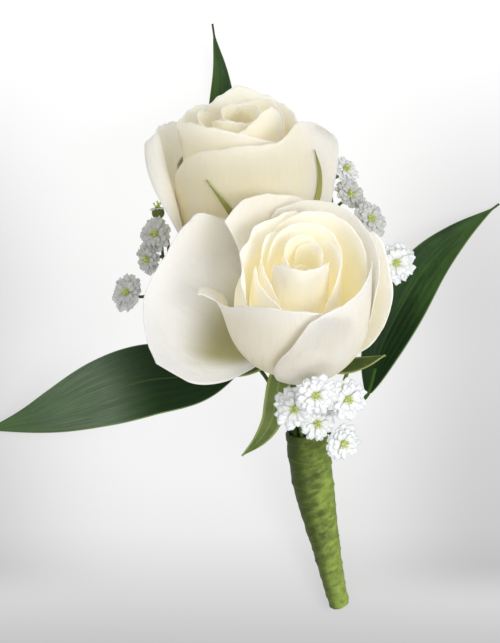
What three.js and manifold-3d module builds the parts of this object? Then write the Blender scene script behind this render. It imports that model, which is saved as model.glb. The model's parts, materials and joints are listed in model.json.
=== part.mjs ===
// A boutonniere: two spray roses, three ruscus leaves and three sprays of double gypsophila,
// bound with stem tape. Millimetres, +Z up. The bunch lies on its back on Z = 0, and Y runs along
// it, from the taped end of the stems to the tip of the top leaf.

import * as THREE from 'three';
import Module from 'manifold-3d';

// Driving dimensions.
const PETAL_THICKNESS = 0.62;
const LEAF_THICKNESS = 0.7;
const SEPAL_THICKNESS = 0.6;
const FLORET_THICKNESS = 0.7;
const SEPAL_CLEARANCE = 0.38;
const FRONT_STEM_RADIUS = 1.35;
const BACK_STEM_RADIUS = 1.25;
const PETIOLE_RADIUS = 0.6;
const SPRAY_STEM_RADIUS = 0.42;
const TWIG_RADIUS = 0.36;
const CALYX_RADIUS = 0.85;
const TAPE_THICKNESS = 0.62;
const FINEST_DETAIL = 0.06;
const HIP_TOP = -0.8;
const HIP_DEPTH = 5.2;
const HIP_RADIUS = 3;

// Where each rose is held: the foot of its petals, how far its axis rises out of the picture
// plane, and how far it leans to the right in that plane, in degrees.
const FRONT_HEAD = { foot: [10.6, -6.6, 28], tilt: 50, lean: 5.5 };
const BACK_HEAD = { foot: [3.1, 11.6, 11.1], tilt: 24, lean: -6 };

// Centre line of the bound stems and the outer radius of the tape at each point.
const HANDLE = [
  { at: [13.9, -23.6, 14.2], radius: 4.35 },
  { at: [14.5, -28.5, 12.7], radius: 4.4 },
  { at: [15.4, -34.6, 10.7], radius: 4.3 },
  { at: [16.6, -41, 8.5], radius: 3.85 },
  { at: [18, -47.4, 6.3], radius: 3.3 },
  { at: [19.3, -53.4, 4.4], radius: 2.8 },
  { at: [20.5, -58.4, 2.9], radius: 2.4 },
  { at: [21.3, -61.6, 2.05], radius: 2.1 },
];

const PETAL_COLOUR = 0xf1ead2;
const CALYX_COLOUR = 0x7d9350;
const LEAF_COLOUR = 0x2f4f2b;
const FLORET_COLOUR = 0xf6f7f0;
const TAPE_COLOUR = 0x75863f;

const wasm = await Module();
wasm.setup();

const radians = (degrees) => THREE.MathUtils.degToRad(degrees);
const vector = (values) => new THREE.Vector3(...values);
const steps = (count) => Array.from({ length: count + 1 }, (_, k) => k / count);

// A closed body of points and triangles, turned so that its faces point out.
function toSolid(points, triangles) {
  const volume = triangles.reduce(
    (sum, [a, b, c]) => sum + points[a].dot(points[b].clone().cross(points[c])), 0);
  const outward = volume < 0 ? triangles.map(([a, b, c]) => [a, c, b]) : triangles;
  return new wasm.Manifold(new wasm.Mesh({
    numProp: 3,
    vertProperties: new Float32Array(points.flatMap((point) => point.toArray())),
    triVerts: new Uint32Array(outward.flat()),
  }));
}

// Joins bodies into one outer skin, so that pockets closed in between them are filled.
function fuse(solids) {
  const whole = solids.reduce((sum, next) => sum.add(next)).simplify(FINEST_DETAIL);
  return whole.decompose().reduce(
    (outer, body) => (body.volume() > outer.volume() ? body : outer));
}

function toMesh(name, solid, colour, roughness) {
  const { vertProperties, triVerts } = solid.getMesh();
  const geometry = new THREE.BufferGeometry();
  geometry.setAttribute('position', new THREE.BufferAttribute(vertProperties, 3));
  geometry.setIndex(new THREE.BufferAttribute(triVerts, 1));
  const material = new THREE.MeshStandardMaterial({ color: colour, roughness, metalness: 0 });
  const mesh = new THREE.Mesh(geometry, material);
  mesh.name = name;
  return mesh;
}

// A blade of even thickness about a grid of points, split alike on both faces.
function sheet(grid, thickness) {
  const rows = grid.length;
  const columns = grid[0].length;
  const normalAt = (row, column) => {
    const left = grid[row][Math.max(column - 1, 0)];
    const right = grid[row][Math.min(column + 1, columns - 1)];
    const below = grid[Math.max(row - 1, 0)][column];
    const above = grid[Math.min(row + 1, rows - 1)][column];
    return right.clone().sub(left).cross(above.clone().sub(below)).normalize();
  };
  const points = [];
  for (const side of [0.5, -0.5]) {
    grid.forEach((line, row) => line.forEach((point, column) => {
      points.push(point.clone().addScaledVector(normalAt(row, column), side * thickness));
    }));
  }
  const front = (row, column) => row * columns + column;
  const back = (row, column) => rows * columns + front(row, column);
  const triangles = [];
  for (let row = 0; row < rows - 1; row += 1) {
    for (let column = 0; column < columns - 1; column += 1) {
      const corners = [[row, column], [row, column + 1], [row + 1, column + 1], [row + 1, column]];
      const [a, b, c, d] = corners.map((corner) => front(...corner));
      const [e, f, g, h] = corners.map((corner) => back(...corner));
      triangles.push([a, b, c], [a, c, d], [e, g, f], [e, h, g]);
    }
  }
  const rim = [];
  for (let column = 0; column < columns - 1; column += 1) rim.push([0, column]);
  for (let row = 0; row < rows - 1; row += 1) rim.push([row, columns - 1]);
  for (let column = columns - 1; column > 0; column -= 1) rim.push([rows - 1, column]);
  for (let row = rows - 1; row > 0; row -= 1) rim.push([row, 0]);
  rim.forEach((place, k) => {
    const next = rim[(k + 1) % rim.length];
    triangles.push([front(...next), front(...place), back(...place)]);
    triangles.push([front(...next), back(...place), back(...next)]);
  });
  return toSolid(points, triangles);
}

// A closed skin over rings of equal count, with a fan over each end.
function skin(rings) {
  const sides = rings[0].length;
  const points = rings.flat();
  const triangles = [];
  for (let ring = 0; ring < rings.length - 1; ring += 1) {
    for (let side = 0; side < sides; side += 1) {
      const a = ring * sides + side;
      const b = ring * sides + (side + 1) % sides;
      triangles.push([a, b, b + sides], [a, b + sides, a + sides]);
    }
  }
  const centre = (ring) => ring
    .reduce((sum, point) => sum.add(point), new THREE.Vector3())
    .divideScalar(sides);
  const foot = points.push(centre(rings[0])) - 1;
  const tip = points.push(centre(rings[rings.length - 1])) - 1;
  const last = (rings.length - 1) * sides;
  for (let side = 0; side < sides; side += 1) {
    const next = (side + 1) % sides;
    triangles.push([foot, next, side], [tip, last + side, last + next]);
  }
  return toSolid(points, triangles);
}

// A round bar along a curve, whose radius may change from 0 at its start to 1 at its end.
function bar(curve, radiusAt, sides, count) {
  const frames = curve.computeFrenetFrames(count, false);
  return skin(steps(count).map((share, k) => {
    const centre = curve.getPointAt(share);
    return Array.from({ length: sides }, (_, side) => {
      const angle = (side / sides) * 2 * Math.PI;
      return centre.clone()
        .addScaledVector(frames.normals[k], Math.cos(angle) * radiusAt(share))
        .addScaledVector(frames.binormals[k], Math.sin(angle) * radiusAt(share));
    });
  }));
}

const smoothCurve = (points) => new THREE.CatmullRomCurve3(points, false, 'centripetal');

// A turned body about the Z axis from a profile of radius and height.
function turned(profile, sides) {
  return skin(profile.map(([radius, height]) => Array.from({ length: sides }, (_, side) => {
    const angle = (side / sides) * 2 * Math.PI;
    return new THREE.Vector3(radius * Math.cos(angle), radius * Math.sin(angle), height);
  })));
}

// A petal in its rose's own frame: X to the right, Y to the back, Z along the axis of the rose.
// turn is the side it stands on, from the front to the right. spine is its middle line as radius
// and height. wrap is the radius it is rolled to across, at its foot and its rim. tuck turns one
// edge in and the other out. roll turns an edge back out, past rollStart, most at the rim. rim is
// the height of its upper edge from side to side, as a share of the spine. nod tips it forward.
// start is where along the spine the modelled part begins, inside the core of the rose.
class Petal {
  constructor(values) {
    const usual = {
      base: 0.25, widest: 0.72, narrow: 0.12, tuck: 0, roll: [0, 0], rollStart: 0.5, rollRise: 1.5,
      rim: [0.86, 0.95, 0.99, 1, 0.99, 0.95, 0.86], frill: 0, waves: 3, phase: 0, nod: 0,
      columns: 6, rows: 5, start: 0,
    };
    Object.assign(this, usual, values);
    this.curve = new THREE.SplineCurve(this.spine.map(([r, h]) => new THREE.Vector2(r, h)));
    this.edge = new THREE.SplineCurve(
      this.rim.map((height, k) => new THREE.Vector2(k, height)));
  }

  halfWidth(v) {
    const grown = Math.sin((Math.PI / 2) * Math.min(1, v / this.widest)) ** 0.9;
    const past = Math.max(0, (v - this.widest) / (1 - this.widest));
    return this.width * (this.base + (1 - this.base) * grown) * (1 - this.narrow * past ** 2);
  }

  // How far a point lies to the side of the spine, and how far in towards the axis.
  across(u, v) {
    const side = Math.sign(u) || 1;
    const width = this.halfWidth(v);
    const radius = THREE.MathUtils.lerp(this.wrap[0], this.wrap[1], v);
    const roll = this.roll[u < 0 ? 0 : 1];
    const pieces = 24;
    const piece = Math.abs(u) / pieces;
    const offset = { aside: 0, inward: 0 };
    for (let k = 0; k < pieces; k += 1) {
      const share = (k + 0.5) * piece;
      const past = Math.max(0, (share - this.rollStart) / (1 - this.rollStart));
      const bend = side * this.tuck + (share * width) / radius
        - roll * past ** 1.5 * v ** this.rollRise;
      offset.aside += side * Math.cos(bend) * width * piece;
      offset.inward += Math.sin(bend) * width * piece;
    }
    return offset;
  }

  at(u, v) {
    const height = v * this.edge.getPoint((u + 1) / 2).y;
    const along = this.curve.getTangentAt(Math.min(height, 1));
    const point = this.curve.getPointAt(Math.min(height, 1))
      .addScaledVector(along, Math.max(0, height - 1) * this.curve.getLength());
    const { aside, inward } = this.across(u, v);
    const wave = this.frill * Math.sin(this.waves * Math.PI * u + this.phase) * v ** 4;
    const radius = point.x - along.y * (inward + wave);
    const rise = point.y + along.x * (inward + wave);
    const turn = radians(this.turn);
    return new THREE.Vector3(
      radius * Math.sin(turn) + aside * Math.cos(turn),
      -radius * Math.cos(turn) + aside * Math.sin(turn),
      rise,
    ).applyAxisAngle(new THREE.Vector3(1, 0, 0), radians(this.nod));
  }

  // The direction away from the axis, square to the outer face.
  outward(u, v) {
    const step = 0.02;
    const aside = this.at(u + step, v).sub(this.at(u - step, v));
    const up = this.at(u, Math.min(v + step, 1)).sub(this.at(u, Math.max(v - step, 0)));
    return aside.cross(up).normalize();
  }

  solid() {
    const grid = steps(this.rows).map((rise) => {
      const v = THREE.MathUtils.lerp(this.start, 1, rise);
      return steps(this.columns).map((share) => this.at(share * 2 - 1, v));
    });
    return sheet(grid, PETAL_THICKNESS);
  }
}

// The innermost petals are furled about the axis, and each ring stands outside the one before.
const FRONT_PETALS = [
  { turn: 1, spine: [[1.5, 0.6], [5.2, 8], [6.9, 19], [4.9, 31.2]], width: 9.8, base: 0.5,
    widest: 0.5, narrow: 0.2, wrap: [7, 5.4], rim: [0.9, 0.955, 0.985, 0.985, 0.985, 0.985, 0.95],
    start: 0.3, rows: 2 },
  { turn: 100, spine: [[1.5, 0.6], [4.5, 8], [5.2, 18], [3.6, 30]], width: 7.5, base: 0.5,
    wrap: [5, 4], tuck: 0.15, start: 0.3, rows: 2 },
  { turn: 220, spine: [[1.5, 0.6], [4.5, 8], [5, 18], [3.4, 30.5]], width: 8, base: 0.5,
    wrap: [5, 4], tuck: 0.15, start: 0.3, rows: 2 },
  { turn: 100, spine: [[1.5, 0.6], [7, 7], [8.2, 17], [7.2, 29.5]], width: 9.5, base: 0.4,
    wrap: [8, 7.4], tuck: 0.14, rim: [0.84, 0.95, 1, 1, 0.98, 0.96, 0.9], start: 0.15, rows: 2 },
  { turn: 182, spine: [[1.5, 0.6], [7, 7], [8.2, 17], [7, 30.5]], width: 11, base: 0.4,
    wrap: [8, 7.6], tuck: 0.14, rim: [0.9, 0.97, 1, 1, 1, 0.97, 0.9], start: 0.15, rows: 2 },
  { turn: 262, spine: [[1.5, 0.6], [7, 7], [8.4, 17], [7.6, 29]], width: 10, base: 0.4,
    wrap: [8, 7.8], tuck: 0.14, rim: [0.9, 0.97, 1, 0.98, 0.94, 0.9, 0.8], start: 0.15, rows: 2 },
  { turn: -44, spine: [[1.5, 0.6], [8, 7], [9.6, 17], [8.8, 27]], width: 9, base: 0.4,
    wrap: [9, 8.4], rim: [0.82, 1, 0.96, 0.93, 0.9, 0.85, 0.8], start: 0.15, rows: 2 },
  { turn: 244, spine: [[1.5, 0.6], [10.6, 6], [12.2, 15], [11, 22], [11.5, 28.2]], width: 13.6,
    base: 0.3, wrap: [11, 12.5], rim: [0.96, 0.985, 1, 0.98, 0.97, 0.98, 0.92], roll: [0.7, 0.3],
    frill: 0.4, waves: 3.4, phase: 0.6, columns: 8, start: 0.08, rows: 3 },
  { turn: 146, spine: [[1.5, 0.6], [10.3, 6], [11.8, 16], [11.8, 30]], width: 15, base: 0.3,
    wrap: [11, 11.6], tuck: 0.12, rim: [0.84, 0.92, 0.97, 1, 1, 0.97, 0.9], start: 0.08, rows: 3 },
  { turn: -28, spine: [[2, 0.6], [9.8, 2.4], [13.9, 8.6], [14.4, 17.6], [13, 27.8]], width: 19.5,
    wrap: [13.4, 15], tuck: 0.04, roll: [3.2, 0], rollStart: 0.6, rollRise: 4.5,
    rim: [0.78, 0.75, 0.86, 0.965, 1, 0.99, 0.92], columns: 8, rows: 6 },
  { turn: 44, spine: [[2, 0.6], [10.2, 2.4], [14.6, 8.6], [15.2, 17.6], [13.7, 30.2]], width: 15,
    wrap: [14.8, 14], tuck: 0.03, rim: [0.66, 0.89, 0.95, 0.965, 0.98, 1, 0.95], columns: 8 },
  { turn: 144, spine: [[2, 1.4], [11.4, 4.8], [14, 12], [14.6, 20], [15.2, 28.8]], width: 17.5,
    wrap: [15, 16], rim: [0.86, 0.94, 0.98, 1, 1, 0.97, 0.9] },
  { turn: 196, spine: [[2, 2.4], [10.6, 6], [13.2, 12], [14.8, 19], [18.2, 28.3]], width: 9,
    base: 0.35, widest: 0.5, narrow: -0.6, wrap: [14, 18],
    rim: [0.72, 0.82, 0.92, 0.965, 0.99, 0.98, 0.91] },
  { turn: 121, spine: [[2, 0.6], [11.4, 2], [16.8, 7], [19.2, 14], [19.2, 23]], width: 10.4,
    wrap: [16, 18], rim: [0.56, 0.74, 0.86, 0.94, 1, 0.95, 0.74] },
  { turn: 243, nod: 34, spine: [[2, 0.8], [8, 1.6], [19, 3], [27, 6.6], [32, 12.1]], width: 19.6,
    base: 0.3, widest: 0.6, narrow: 0, wrap: [20, 26],
    rim: [0.56, 0.955, 0.965, 0.95, 0.94, 0.88, 0.665], columns: 8 },
];

const BACK_PETALS = [
  { turn: -20, spine: [[1.5, 0.6], [5.2, 8], [6.2, 20], [4.6, 34]], width: 8.5, base: 0.5,
    wrap: [5.5, 5], tuck: 0.1, rim: [0.93, 0.965, 0.98, 0.98, 0.965, 0.96, 0.94], start: 0.3,
    rows: 3 },
  { turn: 110, spine: [[1.5, 0.6], [4.5, 8], [5.2, 20], [3.4, 33.8]], width: 7.5, base: 0.5,
    wrap: [5, 4], tuck: 0.15, start: 0.3, rows: 2 },
  { turn: 225, spine: [[1.5, 0.6], [4.5, 8], [5, 20], [3.4, 34]], width: 8, base: 0.5,
    wrap: [5, 4], tuck: 0.15, start: 0.3, rows: 2 },
  { turn: 28, spine: [[1.5, 0.6], [7.5, 6], [9, 17], [8.6, 27], [8.8, 36]], width: 8, base: 0.4,
    wrap: [8.5, 8.8], rim: [0.86, 0.9, 0.94, 0.98, 1, 0.97, 0.9], start: 0.15, rows: 2 },
  { turn: 150, spine: [[1.5, 0.6], [7, 6], [8.2, 17], [7.8, 33.4]], width: 11, base: 0.4,
    wrap: [8, 8], tuck: 0.14, start: 0.15, rows: 2 },
  { turn: 270, spine: [[1.5, 0.6], [7, 6], [8.4, 17], [8, 33.4]], width: 11, base: 0.4,
    wrap: [8, 8], tuck: 0.14, start: 0.15, rows: 2 },
  { turn: -34, spine: [[1.5, 0.6], [10, 5], [12.4, 14], [12.2, 25], [12.6, 35]], width: 17,
    base: 0.35, wrap: [11.5, 12.6], rim: [0.86, 0.95, 1, 1, 0.98, 0.93, 0.86], start: 0.08,
    rows: 3 },
  { turn: 176, spine: [[1.5, 0.6], [10, 5], [12, 14], [11.4, 25], [11.8, 35]], width: 12,
    base: 0.35, wrap: [11, 12], tuck: 0.05, rim: [0.86, 0.93, 0.96, 1, 0.97, 0.93, 0.9],
    start: 0.08, rows: 3 },
  { turn: 232, spine: [[1.5, 0.6], [10.5, 5], [12.8, 14], [12.4, 25], [12.8, 32]], width: 13,
    base: 0.35, wrap: [12, 13], tuck: 0.05, frill: 0.3, waves: 2.5, start: 0.08, rows: 3 },
  { turn: 128, spine: [[1.5, 0.6], [10.5, 5], [12, 14], [11, 25], [11, 32]], width: 12.4,
    base: 0.35, wrap: [12, 11.4], tuck: 0.05, start: 0.08, rows: 3 },
  { turn: 5, spine: [[2, 0.6], [12, 2.6], [15.8, 10], [15.7, 18], [15.4, 26], [15.8, 33.8]],
    width: 20.4, widest: 0.85, wrap: [15, 15.6], roll: [0, 2.4], rollRise: 2.2, columns: 8,
    rim: [0.8, 0.905, 0.945, 0.955, 0.94, 1, 0.95] },
  { turn: 252, spine: [[2, 0.8], [10.8, 3.4], [14.4, 10], [15.4, 18], [16.2, 26], [16.8, 31]],
    width: 17.4, widest: 0.6, narrow: 0.55, wrap: [14.5, 15.4], roll: [0, 2.3], rollStart: 0.38,
    rollRise: 1.1, rim: [0.93, 0.955, 0.97, 0.985, 1, 0.99, 0.95], columns: 8 },
  { turn: 124, spine: [[2, 1.6], [11.4, 4.2], [15.2, 10.8], [15.4, 18], [14, 26], [13.4, 27.6]],
    width: 19, wrap: [13.6, 14], tuck: 0.05 },
  { turn: 186, spine: [[2, 3], [10.6, 5], [13.4, 9], [14.6, 16], [15, 25]], width: 17,
    wrap: [15, 16.5], rows: 4 },
];

// The core that the petals of a rose grow from, hidden under the furled ones.
function receptacle() {
  return turned([[2.6, 0.35], [6.4, 3], [6.8, 8], [4.6, 13.5]], 9);
}

function bloom(petals) {
  return fuse([receptacle(), ...petals.map((values) => new Petal(values).solid())]);
}

// The frame of a rose: its foot, with Z along its axis and Y to the back of the head.
function headFrame({ foot, tilt, lean }) {
  const [rise, side] = [radians(tilt), radians(lean)];
  const axis = new THREE.Vector3(
    Math.cos(rise) * Math.sin(side), Math.cos(rise) * Math.cos(side), Math.sin(rise));
  const right = new THREE.Vector3(Math.cos(side), -Math.sin(side), 0);
  const group = new THREE.Group();
  group.position.set(...foot);
  group.quaternion.setFromRotationMatrix(
    new THREE.Matrix4().makeBasis(right, axis.clone().cross(right), axis));
  group.updateMatrixWorld(true);
  return group;
}

// A sepal that grows out of the hip and lies along the outside of a petal, through [u, v] places.
// Low down it stands off further by footLift, to pass outside the feet of the other petals.
function layingSepal({ petal, path, halfWidth, rows = 6, extraLift = 0, footLift = 0 }) {
  const host = new Petal(petal);
  const flat = PETAL_THICKNESS / 2 + SEPAL_CLEARANCE + SEPAL_THICKNESS / 2 + extraLift;
  const line = new THREE.SplineCurve(path.map(([u, v]) => new THREE.Vector2(u, v)));
  const grid = steps(rows).map((share) => {
    const place = line.getPoint(share);
    const reach = halfWidth * Math.cos((Math.PI / 2) * share ** 1.5) + 0.25;
    const lift = flat + footLift * Math.max(0, 1 - share / 0.6) ** 2;
    return [-1, 0, 1].map((side) => {
      const u = place.x + (side * reach) / host.halfWidth(place.y);
      return host.at(u, place.y).addScaledVector(host.outward(u, place.y), lift);
    });
  });
  const inHip = grid[0].map(({ x, y }) => new THREE.Vector3(x * 0.35, y * 0.35, HIP_TOP - 1.4));
  return sheet([inHip, ...grid], SEPAL_THICKNESS);
}

// A sepal that hangs free of the petals.
function freeSepal(values) {
  const sepal = new Petal({ base: 0.7, widest: 0.35, narrow: 0.88, wrap: [9, 6], ...values });
  const grid = steps(5).map((v) => [-1, 0, 1].map((u) => sepal.at(u, v)));
  return sheet(grid, SEPAL_THICKNESS);
}

// A sepal that has folded back and hangs beside the stem, along points of the whole bunch.
function hangingSepal(head, values) {
  const blade = new Leaf({ ...values, outline: SEPAL_OUTLINE });
  return blade.solid(8, 2, SEPAL_THICKNESS)
    .transform(head.matrixWorld.clone().invert().elements);
}

function hip() {
  return turned([
    [1.2, HIP_TOP - HIP_DEPTH], [2.1, HIP_TOP - HIP_DEPTH * 0.8],
    [HIP_RADIUS, HIP_TOP - HIP_DEPTH * 0.4], [HIP_RADIUS, HIP_TOP - HIP_DEPTH * 0.12],
    [HIP_RADIUS * 0.8, HIP_TOP],
  ], 10);
}

// The green of a rose in the frame of its head: the hip, the sepals and the stem, whose points
// are given in the frame of the bunch.
function calyx(head, sepals, stemPoints, stemRadius) {
  const local = stemPoints.map((point) => head.worldToLocal(vector(point)));
  const route = smoothCurve([new THREE.Vector3(0, 0, HIP_TOP - HIP_DEPTH * 0.5), ...local]);
  const taper = (share) => stemRadius * (1 - 0.14 * share);
  return fuse([hip(), bar(route, taper, 8, 18), ...sepals]);
}

// How far down the handle is hollow: below that the stems are cut and the tape is solid.
const HOLLOW_SHARE = 0.78;

const HANDLE_LINE = smoothCurve(HANDLE.map(({ at }) => vector(at)));
const HANDLE_GIRTH = new THREE.SplineCurve(
  HANDLE.map(({ radius }, k) => new THREE.Vector2(k / (HANDLE.length - 1), radius)));

// The directions of the handle at a share of its length: down along it, to the right, and up.
function handleFrame(share) {
  const along = HANDLE_LINE.getTangent(share);
  const right = new THREE.Vector3(-along.y, along.x, 0).normalize();
  return { along, right, above: new THREE.Vector3().crossVectors(along, right).normalize() };
}

// A place in the handle, to the right of its centre line and above it. Stems draw together as it
// narrows. A place before the mouth runs straight on from it.
function inHandle(share, right, above) {
  const inside = Math.max(share, 0);
  const frame = handleFrame(inside);
  const hollow = HANDLE_GIRTH.getPoint(inside).y - TAPE_THICKNESS;
  const hold = (hollow / (HANDLE[0].radius - TAPE_THICKNESS)) ** 1.6;
  return HANDLE_LINE.getPoint(inside)
    .addScaledVector(frame.along, Math.min(share, 0) * HANDLE_LINE.getLength())
    .addScaledVector(frame.right, right * hold)
    .addScaledVector(frame.above, above * hold)
    .toArray();
}

// Where each stem lies in the handle, from its centre, and how far down it reaches.
const IN_HANDLE = {
  frontRose: { right: 0.75, above: 1.45, reach: 0.7 },
  backRose: { right: -1, above: -1.4, reach: 0.44 },
  leafLeft: { right: -2.25, above: 0.95, reach: 0.4 },
  leafRight: { right: 2.55, above: -0.7, reach: 0.36 },
  leafTop: { right: 0.85, above: -2.35, reach: 0.32 },
  sprayFront: { right: -0.95, above: 2.65, reach: 0.3 },
  sprayLeft: { right: -2.82, above: -0.5, reach: 0.24 },
  sprayRight: { right: 2.76, above: 0.7, reach: 0.26 },
};

function handlePlaces({ right, above, reach }) {
  return [-0.06, 0.02, 0.14, reach * 0.6, reach].map((share) => inHandle(share, right, above));
}

// The tape: a sleeve about the stems, open at the top and closed over their cut ends.
function tape() {
  const laps = 9;
  const ridge = 0.14;
  const ring = (share, count, radiusAt) => {
    const { right, above } = handleFrame(share);
    return Array.from({ length: count }, (_, side) => {
      const angle = (side / count) * 2 * Math.PI;
      const radius = HANDLE_GIRTH.getPoint(share).y + radiusAt(side / count);
      return HANDLE_LINE.getPoint(share)
        .addScaledVector(right, Math.cos(angle) * radius)
        .addScaledVector(above, Math.sin(angle) * radius);
    });
  };
  const lapped = (share) => (around) => ridge * (((laps * share + around) % 1) - 0.5);
  const outer = skin(steps(20).map((share) => ring(share, 12, lapped(share))));
  const inner = steps(8).map((share) => ring(share * HOLLOW_SHARE, 12, () => -TAPE_THICKNESS));
  const mouth = inner[0].map((point, side) => point.clone().sub(inner[1][side]).add(point));
  return outer.subtract(skin([mouth, ...inner]));
}

// How wide a blade is at each share of its length: a leaf is pointed at both ends, and a sepal
// is broad at its foot.
const LEAF_OUTLINE = (v) => Math.sin(Math.PI * Math.min(0.985, 0.02 + v) ** 0.75) ** 1.1;
const SEPAL_OUTLINE = (v) => Math.cos((Math.PI / 2) * Math.min(0.97, v) ** 1.8);

// A blade about a curved middle line, folded up a little from its midrib.
class Leaf {
  constructor({ line, halfWidth, fold, roll = 0, wave = 0, outline = LEAF_OUTLINE }) {
    Object.assign(this, { halfWidth, fold, roll, wave, outline });
    this.curve = smoothCurve(line.map(vector));
  }

  at(u, v) {
    const along = this.curve.getTangentAt(v);
    const flat = new THREE.Vector3(along.y, -along.x, 0).normalize();
    const aside = flat.applyAxisAngle(along, radians(this.roll));
    const up = new THREE.Vector3().crossVectors(aside, along).normalize();
    const reach = this.halfWidth * this.outline(v);
    const rise = this.fold * Math.abs(u) ** 1.4 * reach
      + this.wave * Math.sin(2.5 * Math.PI * v + u) * u * u * (reach / this.halfWidth);
    return this.curve.getPointAt(v)
      .addScaledVector(aside, u * Math.max(reach, 0.3))
      .addScaledVector(up, rise);
  }

  solid(rows, columns, thickness) {
    const grid = steps(rows).map(
      (v) => steps(columns).map((share) => this.at(share * 2 - 1, v)));
    return sheet(grid, thickness);
  }
}

// A leaf on a stalk that runs on into the handle.
function leafWithStalk(values, stalkPoints) {
  const blade = new Leaf(values);
  const root = blade.at(0, 0.1).toArray();
  const route = smoothCurve([root, values.line[0], ...stalkPoints].map(vector));
  return fuse([blade.solid(13, 6, LEAF_THICKNESS), bar(route, () => PETIOLE_RADIUS, 5, 11)]);
}

// One ring of joined floret petals: a lobed, notched and ruffled dish.
function dish({ radius, lobes, perLobe, notch, cup, ruffle, rings, thickness }) {
  const count = lobes * perLobe;
  const place = (ring, k) => {
    const angle = (k / count) * 2 * Math.PI;
    const lobe = Math.abs(Math.sin((angle * lobes) / 2));
    const reach = radius * (1 - notch + notch * lobe ** 0.5) * (ring / rings);
    const rise = cup * (ring / rings) ** 2 + ruffle * (ring / rings) * Math.cos(angle * lobes * 1.5);
    return new THREE.Vector3(reach * Math.cos(angle), reach * Math.sin(angle), rise);
  };
  const points = [];
  const layers = [thickness / 2, -thickness / 2];
  for (const level of layers) {
    points.push(new THREE.Vector3(0, 0, level));
    for (let ring = 1; ring <= rings; ring += 1) {
      for (let k = 0; k < count; k += 1) {
        points.push(place(ring, k).add(new THREE.Vector3(0, 0, level)));
      }
    }
  }
  const layerSize = 1 + rings * count;
  const triangles = [];
  const quad = (a, b, c, d) => triangles.push([a, b, c], [a, c, d]);
  for (let k = 0; k < count; k += 1) {
    const next = (k + 1) % count;
    triangles.push([0, 1 + k, 1 + next], [layerSize, layerSize + 1 + next, layerSize + 1 + k]);
    for (let ring = 1; ring < rings; ring += 1) {
      const near = 1 + (ring - 1) * count;
      const far = near + count;
      quad(near + k, far + k, far + next, near + next);
      triangles.push([layerSize + near + k, layerSize + far + next, layerSize + far + k]);
      triangles.push([layerSize + near + k, layerSize + near + next, layerSize + far + next]);
    }
    const edge = 1 + (rings - 1) * count;
    quad(edge + k, layerSize + edge + k, layerSize + edge + next, edge + next);
  }
  return toSolid(points, triangles);
}

// A double floret about its own Z axis: an open ring of petals and a cupped inner ring.
function floret(radius, spin) {
  const outer = dish({
    radius, lobes: 5, perLobe: 3, notch: 0.26, cup: -0.4, ruffle: 0.4, rings: 1,
    thickness: FLORET_THICKNESS,
  });
  const inner = dish({
    radius: radius * 0.7, lobes: 5, perLobe: 2, notch: 0.25, cup: radius * 0.36, ruffle: 0,
    rings: 1, thickness: FLORET_THICKNESS * 1.25,
  });
  return outer.add(inner.rotate([0, 0, 36])).rotate([0, 0, spin]);
}

// The matrix that stands a body's Z axis along a direction, at a place.
function standing(at, facing) {
  const turn = new THREE.Quaternion()
    .setFromUnitVectors(new THREE.Vector3(0, 0, 1), vector(facing).normalize());
  return new THREE.Matrix4().compose(vector(at), turn, new THREE.Vector3(1, 1, 1));
}

// A spray: a main stem out of the handle to its fork, and from there a twig to each floret that
// swells into its calyx.
function spray({ stem, fork, florets, buds = [] }) {
  const forkPoint = vector(fork);
  const main = bar(smoothCurve([...stem.map(vector), forkPoint]), () => SPRAY_STEM_RADIUS, 5, 9);
  const parts = [main];
  for (const { at, facing, radius, spin, via = [] } of florets) {
    const stand = standing(at, facing);
    const places = [-4.4, -2.4, 0.2].map((h) => new THREE.Vector3(0, 0, h).applyMatrix4(stand));
    const route = smoothCurve([forkPoint, ...via.map(vector), ...places]);
    const length = route.getLength();
    const swollen = (share) => (length * (1 - share) < 2.4 ? CALYX_RADIUS : TWIG_RADIUS);
    parts.push(bar(route, swollen, 5, Math.ceil(length / 3.4)));
    parts.push(floret(radius, spin).transform(stand.elements));
  }
  for (const { at, radius } of buds) {
    parts.push(bar(smoothCurve([forkPoint, vector(at)]), () => TWIG_RADIUS, 5, 3));
    const ball = turned([
      [radius * 0.4, -radius * 1.1], [radius * 0.95, -radius * 0.4], [radius * 0.95, radius * 0.4],
      [radius * 0.4, radius],
    ], 7);
    const stand = standing(at, vector(at).sub(forkPoint).toArray());
    parts.push(ball.transform(stand.elements));
  }
  return fuse(parts);
}

// The surface that the bunch lies on takes a shallow flat off whatever presses on it.
function pressedFlat(solid) {
  const below = new THREE.BoxGeometry(300, 300, 40).toNonIndexed();
  below.translate(0, 0, -20);
  const places = below.getAttribute('position');
  const points = [];
  const triangles = [];
  const known = new Map();
  for (let k = 0; k < places.count; k += 1) {
    const point = new THREE.Vector3().fromBufferAttribute(places, k);
    const key = point.toArray().join();
    if (!known.has(key)) known.set(key, points.push(point) - 1);
    if (k % 3 === 0) triangles.push([]);
    triangles[triangles.length - 1].push(known.get(key));
  }
  return solid.subtract(toSolid(points, triangles));
}

const boutonniere = new THREE.Group();

function addRose(prefix, head, petals, green) {
  const frame = headFrame(head);
  frame.add(toMesh(`${prefix}_petals`, bloom(petals), PETAL_COLOUR, 0.6));
  frame.add(toMesh(`${prefix}_calyx`, green(frame), CALYX_COLOUR, 0.65));
  boutonniere.add(frame);
}

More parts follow.
